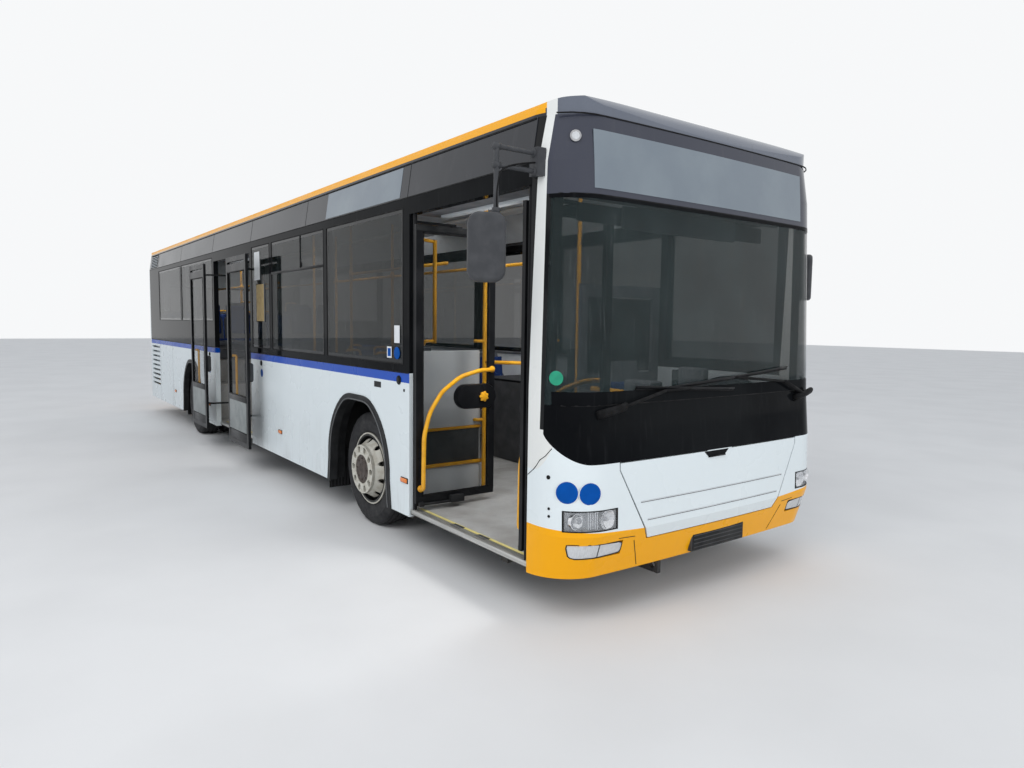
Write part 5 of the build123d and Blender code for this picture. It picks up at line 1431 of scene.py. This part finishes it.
def front_doors():
    """Handrails, housings, edge rubbers and foot gear on the leaves of the front door."""
    low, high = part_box("front_door_leaf_aft")
    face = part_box("front_door_glass_aft")[1].x + 0.012
    over = at(2 * FRONT_DOOR_MID, 0, 0) @ Matrix.Diagonal((-1, 1, 1, 1))
    for end in ("aft", "fore"):
        piece = Piece("front_door_fittings_" + end, "front_door_leaf_" + end)
        hand = [(face + HANDRAIL_OUT * out, y, z) for out, y, z in HANDRAIL]
        parts = [
            (tube(hand, 0.016, 0.045, 14), RAIL),
            (pod((face - 0.004, -0.750, 1.165), 0.060, 0.350, 0.185), FRAME_BLACK),
            (knob((face + 0.056, -0.700, 1.165)), RAIL),
            (tube([(face + 0.010, -1.205, 0.392), (face + 0.022, -0.90, 0.388)], 0.010), LIP),
            (box(face - 0.002, face + 0.045, -0.965, -0.850, 0.378, 0.432, 0.006), LIP),
            (box(face - 0.002, face + 0.030, -1.225, -1.185, 0.378, 0.412, 0.006), LIP),
            (box(face - 0.026, face + 0.006, low.y + 0.004, high.y - 0.030,
                 high.z - 0.072, high.z - 0.028, 0.004), LIP),
        ]
        for out, y, z in (HANDRAIL[0], HANDRAIL[-1]):
            parts.append((tube([(face, y, z), (face + 0.010, y, z)], 0.026), RAIL))
        for bar in edges(-1.192, -0.606, 0.448, 2.356, 0.012, lapped=True):
            parts.append((box(face - 0.010, face + 0.002, *bar, 0.002), RUBBER))
        for form, material in parts:
            piece.add(reversed_faces(moved(form, over)) if end == "fore" else form, material)
        piece.done("door_black")


def middle_doors():
    """Kick plates, handles, frosted lower panels and edge rubbers on the leaves of the middle door."""
    for end in ("fore", "aft"):
        low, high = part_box("middle_door_leaf_" + end)
        glass_low, glass_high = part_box("middle_door_glass_" + end)
        out, inside = glass_low.y - 0.012, glass_high.y + 0.012
        x0, x1 = low.x + 0.050, high.x - 0.050
        x = high.x - 0.215
        piece = Piece("middle_door_fittings_" + end, "middle_door_leaf_" + end)
        piece.boxes((FRAME_BLACK, x0, x1, out + 0.002, inside - 0.002, 0.350, 0.452, 0.003),
                    (DASH, x, x + 0.19, inside - 0.004, inside + 0.051, 1.035, 1.245, 0.026, 5))
        rail = [(low.x + 0.09, inside + reach, z) for reach, z in
                ((0, 0.800), (0.045, 0.800), (0.045, 1.30), (0, 1.30))]
        piece.add(tube(rail, 0.014, 0.03, 12), RAIL)
        for a, b, c, d in edges(x0, x1, 0.860, 2.260, 0.012, lapped=True):
            piece.boxes((RUBBER, a, b, out - 0.002, out + 0.008, c, d, 0.002))
        piece.boxes((FRAME_BLACK, x0 - 0.002, x1 + 0.002, out - 0.004, out + 0.010, 0.800, 0.862, 0.003),
                    (FROST, x0 + 0.012, x1 - 0.012, out - 0.0025, out + 0.006, 0.462, 0.802, 0.002))
        piece.done("door_black")


def doorways():
    """Sills, rubber edges and lamps of both doorways."""
    piece = Piece("doorway_edges")
    for mid, half, reach in ((FRONT_DOOR_MID, 0.705, SILL_FRONT), (MIDDLE_DOOR_MID, 0.800, SILL_MID)):
        x0, x1 = mid - half + 0.02, mid + half - 0.02
        piece.boxes((SILL, x0 - 0.008, x1 + 0.008, -reach - 0.004, -reach + 0.055, FLOOR_Z - 0.030,
                     FLOOR_Z + 0.004, 0.004))
        for k in range(4):
            y = -reach + 0.004 + k * 0.012
            piece.boxes((SILL, x0, x1, y, y + 0.005, FLOOR_Z + 0.003, FLOOR_Z + 0.0065, 0.001))
        piece.boxes((SILL_LINE, x0, x1, -reach + 0.060, -reach + 0.085, FLOOR_Z - 0.002, FLOOR_Z + 0.0025, 0.001))
    for x in (4.767, 5.066):
        piece.boxes((DASH, x - 0.06, x + 0.06, -1.215, -1.165, FLOOR_Z, FLOOR_Z + 0.005, 0.002))
    piece.done("door_black")

    Piece("doorway_lamps").boxes(
        (TRIM, 4.30, 5.50, -1.05, -0.99, 2.462, 2.482, 0.004),
        (TRIM, -1.12, 0.26, -1.05, -0.99, 2.462, 2.482, 0.004),
    ).done("cab_grey")


# Inside

PAD_VOXEL = 0.006
PAD_FACES = 2400
PAD_STEPS = 20
PAD_CROWN = 0.010
PAD_FIT = 0.42
BASE_TILT = -0.04
BACK_TILT = -0.13


def pad_mesh(name, size, crown):
    """A flat cushion of woven cover, swollen by pressure like a stuffed pad."""
    sx, sy, sz = size
    form = box(-sx / 2, sx / 2, -sy / 2, sy / 2, -sz / 2, sz / 2, min(sz * 0.45, 0.016), 3)
    bmesh.ops.subdivide_edges(form, edges=form.edges[:], cuts=2, use_grid_fill=True)
    mesh = bpy.data.meshes.new(name)
    form.to_mesh(mesh)
    form.free()
    pad = linked(name, mesh)
    remesh = pad.modifiers.new("remesh", "REMESH")
    remesh.mode = "VOXEL"
    remesh.voxel_size = PAD_VOXEL
    start = applied(pad)
    cloth = pad.modifiers.new("cloth", "CLOTH")
    cloth.settings.quality = 5
    cloth.settings.use_pressure = True
    cloth.settings.uniform_pressure_force = 4
    cloth.settings.effector_weights.gravity = 0
    cloth.point_cache.frame_end = PAD_STEPS
    for step in range(1, PAD_STEPS + 1):
        bpy.context.scene.frame_set(step)
    applied(pad)
    for vertex, home in zip(pad.data.vertices, start):
        move = vertex.co - home
        if move.length > crown:
            vertex.co = home + move.normalized() * crown
    bpy.context.scene.frame_set(1)
    fine = pad.modifiers.new("fine", "SUBSURF")
    fine.levels = 1
    thin = pad.modifiers.new("thin", "DECIMATE")
    thin.ratio = PAD_FACES / (8 * len(pad.data.polygons))
    applied(pad)
    result = pad.data
    bpy.data.objects.remove(pad)
    return result


def applied(piece):
    """Applies the modifiers and returns where the points lie."""
    graph = bpy.context.evaluated_depsgraph_get()
    mesh = bpy.data.meshes.new_from_object(piece.evaluated_get(graph))
    piece.modifiers.clear()
    piece.data = mesh
    return [vertex.co.copy() for vertex in mesh.vertices]


def seat_shell(width, back_h):
    """A moulded seat shell facing +X, its base at the origin's height and its back behind it."""
    bm = bmesh.new()
    line = [(0.225, -0.020), (0.235, 0.010), (0.200, 0.024), (0.000, 0.004), (-0.150, 0.000), (-0.190, 0.020),
            (-0.215, 0.080), (-0.215 - back_h * 0.10, back_h * 0.6), (-0.215 - back_h * 0.16, back_h)]
    path = rounded([(x, 0, z) for x, z in line], 0.03, 3)
    cells = 8
    rows = []
    for i, p in enumerate(path):
        t = i / (len(path) - 1)
        half = width / 2 * (1.0 if t < 0.85 else 1.0 - 0.35 * ((t - 0.85) / 0.15) ** 2)
        row = []
        for k in range(cells + 1):
            u = 2 * k / cells - 1
            dish = 0.018 * (1 - u * u)
            out = Vector((-dish, 0, 0)) if t > 0.5 else Vector((0, 0, -dish))
            row.append(bm.verts.new(p + out + Vector((0, u * half, 0))))
        rows.append(row)
    for a, b in zip(rows, rows[1:]):
        for k in range(cells):
            bm.faces.new((a[k], a[k + 1], b[k + 1], b[k]))
    bmesh.ops.solidify(outward(bm), geom=bm.faces[:], thickness=0.014)
    return outward(bm)


def seats():
    """Moulded shells with padded covers on the frame's seat places."""
    base = pad_mesh("seat_pad", (0.36, 0.37, 0.030), PAD_CROWN)
    back = pad_mesh("back_pad", (0.030, 0.37, 0.46), PAD_CROWN)
    shells = Piece("seat_shells")
    covers = bmesh.new()
    for low, high in islands("seats"):
        driver = low.x > 4
        wide = high.y - low.y
        count = 5 if wide > 2 else 1 if driver else 2
        width = min(wide / count - 0.02, 0.46)
        back_h, tall, shell = (0.78, 1.25, CAB) if driver else (0.60, 1.0, SEAT_SHELL)
        cushion = high.z - back_h
        mid = (low.x + high.x) / 2 + 0.03
        for k in range(count):
            y = low.y + wide * (k + 0.5) / count
            shells.add(shifted(seat_shell(width, back_h), mid, y, cushion), shell)
            stretch = Matrix.Diagonal((1, width / PAD_FIT, 1, 1))
            for mesh, place in (
                (base, at(mid + 0.01, y, cushion + 0.026) @ Matrix.Rotation(BASE_TILT, 4, "Y")),
                (back, at(mid - 0.215 - back_h * 0.045, y, cushion + 0.34) @ Matrix.Rotation(BACK_TILT, 4, "Y")
                 @ Matrix.Diagonal((1, 1, tall, 1))),
            ):
                part = bmesh.new()
                part.from_mesh(mesh)
                merge(covers, moved(part, place @ stretch))
                part.free()
        floor = low.z
        y0, y1 = low.y + 0.03, high.y - 0.03
        inner = min(abs(low.y), abs(high.y))
        s = 1 if low.y + high.y > 0 else -1
        if driver:
            shells.boxes((DASH, mid - 0.14, mid + 0.14, y0 + 0.08, y1 - 0.08, floor, cushion - 0.02, 0.03, 3))
        elif count == 5:
            shells.boxes((CAB, low.x + 0.05, high.x - 0.10, y0 - 0.01, y1 + 0.01, floor, cushion - 0.03, 0.02))
        elif floor > 1.0:
            shells.boxes((CAB, low.x + 0.04, high.x - 0.05, y0, y1, floor, cushion - 0.03, 0.02))
        else:
            leg = s * (inner + 0.24)
            shells.boxes((CAB, mid - 0.16, mid + 0.12, y0, y1, cushion - 0.075, cushion - 0.035, 0.012))
            shells.add(tube([(mid - 0.02, leg, floor), (mid - 0.02, leg, cushion - 0.05)], 0.030), CAB)
            shells.boxes((CAB, mid - 0.14, mid + 0.10, leg - 0.06, leg + 0.06, floor, floor + 0.012, 0.004))
        if count == 2:
            top = high.z - 0.015
            x = mid - 0.225 - back_h * 0.15
            y = s * (inner + 0.07)
            handle = [(x - 0.005, y - 0.09, top - 0.10), (x - 0.010, y - 0.09, top + 0.035),
                      (x - 0.010, y + 0.09, top + 0.035), (x - 0.005, y + 0.09, top - 0.10)]
            shells.add(tube(handle, 0.013, 0.05, 12), RAIL)
    shells.done("seat_blue", ["seats"])
    mesh = bpy.data.meshes.new("seat_covers")
    covers.to_mesh(mesh)
    covers.free()
    mesh.materials.append(SEAT)
    for face in mesh.polygons:
        face.use_smooth = True
    piece = linked("seat_covers", mesh)
    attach(piece, "root")
    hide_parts("seats")


LONG_RAIL_Z = 2.26
RACK_REACH = 0.662

# Long grab rails: distance across and their two ends along; and the places of the sockets on them
LONG_RAILS = ((-0.270, 0.965, 3.10), (0.280, 0.965, 4.005), (0.260, -5.1, 0.965), (-0.260, -5.1, -1.6))
RAIL_SOCKETS = ((2.505, -0.27), (0.965, -0.27), (0.965, 0.26), (4.005, 0.28), (-3.49, -0.26), (-3.49, 0.26),
                (-0.75, 0.26))

# Wall linings: side, their two ends along and their lower edge
LININGS = (
    (-1, 2.64, 3.93, 1.17), (-1, 0.40, 2.58, 0.36), (-1, -5.70, -3.30, 0.84),
    (1, 2.64, 4.30, 1.17), (1, -1.10, 2.58, 0.36), (1, -5.70, -3.3, 0.84),
)


def cabin():
    """Ceiling, ducts, long grab rails, racks over the front wheels and wall linings."""
    piece = Piece("ceiling")
    top = CEILING_Z - 0.002
    for s in (-1, 1):
        duct = [(0.88, top), (1.14, top), (1.185, 2.640), (1.150, 2.625)]
        piece.add(slab(duct, lambda y, z, depth: Vector((4.10 - depth, s * y, z)), 9.70), TRIM)
        piece.boxes((LIGHT, -5.60, 4.10, s * 0.66, s * 0.84, CEILING_Z - 0.030, top, 0.008))
    piece.boxes((TRIM, -5.60, 4.10, -0.62, 0.62, CEILING_Z - 0.012, top, 0.004))
    piece.done("cab_grey")

    piece = Piece("long_rails")
    for y, x0, x1 in LONG_RAILS:
        piece.add(tube([(x0, y, LONG_RAIL_Z), (x1, y, LONG_RAIL_Z)], 0.0155), RAIL)
    for x, y in RAIL_SOCKETS:
        piece.add(tube([(x, y, 2.22), (x, y, 2.30)], 0.023), RAIL)
    for x, y, s in ((4.005, -0.460, -1), (4.005, 0.280, 1)):
        for z in (0.93, 1.57):
            hook = [(x, y, z), (x - 0.02, y + s * 0.06, z), (x - 0.045, y + s * 0.07, z)]
            piece.add(tube(hook, 0.013, 0.02), RAIL)
    piece.add(tube([(4.005, -0.460, 1.40), (4.20, -0.30, 1.40), (4.330, -0.20, 1.40)], 0.015, 0.06), RAIL)
    piece.done("rail_yellow")

    piece = Piece("wheel_box_racks")
    x, rear_x = FRONT_AXLE_X + RACK_REACH, FRONT_AXLE_X - RACK_REACH
    for s, panel in ((-1, TRIM), (1, DASH)):
        near, far = s * 0.475, s * 1.175
        piece.boxes(
            (panel, x, x + 0.014, near, far, 0.885, 1.495, 0.012, 3),
            (RAIL, x - 0.002, x + 0.020, near - s * 0.015, far, 0.862, 0.885, 0.006),
            (DASH, x, x + 0.010, near, far, 0.600, 0.862, 0.003),
            (RAIL, x - 0.002, x + 0.024, near - s * 0.030, far, 0.572, 0.600, 0.006),
            (panel, x, x + 0.010, near, far, 0.345, 0.572, 0.003),
            (panel, rear_x, x + 0.010, near - s * 0.012, near + s * 0.002, 0.345, 1.16, 0.004),
            (panel, rear_x, x + 0.010, near - s * 0.012, far, 1.131, 1.160, 0.006),
        )
    x = FRONT_AXLE_X + 0.70
    piece.add(tube([(x - 0.02, -1.00, 1.545), (x, -1.00, 1.572), (x, -0.93, 1.572)], 0.013, 0.02), RAIL)
    piece.add(tube([(x, -0.915, 1.555), (x, -0.915, 2.342)], 0.016, 0, 14), RAIL)
    piece.add(tube([(x, -0.915, 2.330), (x - 0.03, -1.00, 2.342), (x - 0.05, -1.10, 2.342)], 0.013), RAIL)
    piece.done("cab_grey")

    piece = Piece("wall_linings")
    for s, x0, x1, low in LININGS:
        piece.boxes((TRIM, x0, x1, s * 1.186, s * 1.176, low, 1.385, 0.004),
                    (CAB, x0, x1, s * 1.186, s * 1.150, 1.375, 1.395, 0.006))
    piece.done("cab_grey")


def cab():
    """The driver's place: instrument dome, screen edge, partition glass and fittings."""
    dome = bmesh.new()
    bmesh.ops.create_uvsphere(dome, u_segments=40, v_segments=20, radius=1.0)
    for vertex in dome.verts:
        x, y, z = vertex.co
        x = x * (1 - 0.25 * max(0.0, z))
        vertex.co = Vector((x * 0.19, y * 0.36, z * 0.17 if z > 0 else z * 0.05))
    Piece("instrument_dome").add(shifted(dome, 5.545, 0.640, 1.185), DASH).boxes(
        (DASH, 5.350, 5.385, 0.42, 0.86, 1.15, 1.275, 0.03, 4),
        (GLASS, 5.342, 5.356, 0.46, 0.82, 1.175, 1.262, 0.01, 3),
        (CAB, 5.36, 5.60, 0.30, 0.36, 1.17, 1.42, 0.02, 3),
        (GLASS, 5.352, 5.366, 0.25, 0.42, 1.28, 1.40, 0.01, 3),
    ).done("cab_grey")

    piece = Piece("dash_fittings")
    piece.boxes(
        (RAIL, 4.52, 5.30, 0.228, 0.262, 1.176, 1.215, 0.012),
        (CAB, 4.92, 5.20, 0.20, 0.34, 1.18, 1.30, 0.02, 3),
        (SIGN_BLUE, 5.40, 5.52, -0.20, -0.04, 1.178, 1.215, 0.015, 3),
        (GLASS, 4.352, 4.362, 0.330, 1.090, 1.310, 1.940, 0.002),
    )
    piece.add(tube([(4.345, 0.24, 0.345), (4.345, 0.24, 2.885)], 0.017, 0, 14), RAIL)
    piece.boxes(
        (CAB, 4.36, 4.375, 0.27, 1.15, 0.40, 1.25, 0.01),
        (CAB, 5.62, 5.66, -1.02, 1.02, 2.44, 2.50, 0.01),
        (CAB, 5.60, 5.63, -0.55, 0.55, 2.30, 2.44, 0.012),
        (DASH, 5.58, 5.60, -0.90, -0.10, 2.32, 2.43, 0.01),
        (DASH, 5.58, 5.60, 0.10, 0.90, 2.32, 2.43, 0.01),
    )
    piece.done("cab_grey")


def main():
    dress_nodes()
    camera()
    stage()
    wheels()
    head_lamps()
    front_trim()
    wipers()
    side_trim()
    side_fittings()
    arches()
    rear()
    roof_detail()
    mirrors()
    front_doors()
    middle_doors()
    doorways()
    seats()
    cabin()
    cab()


main()
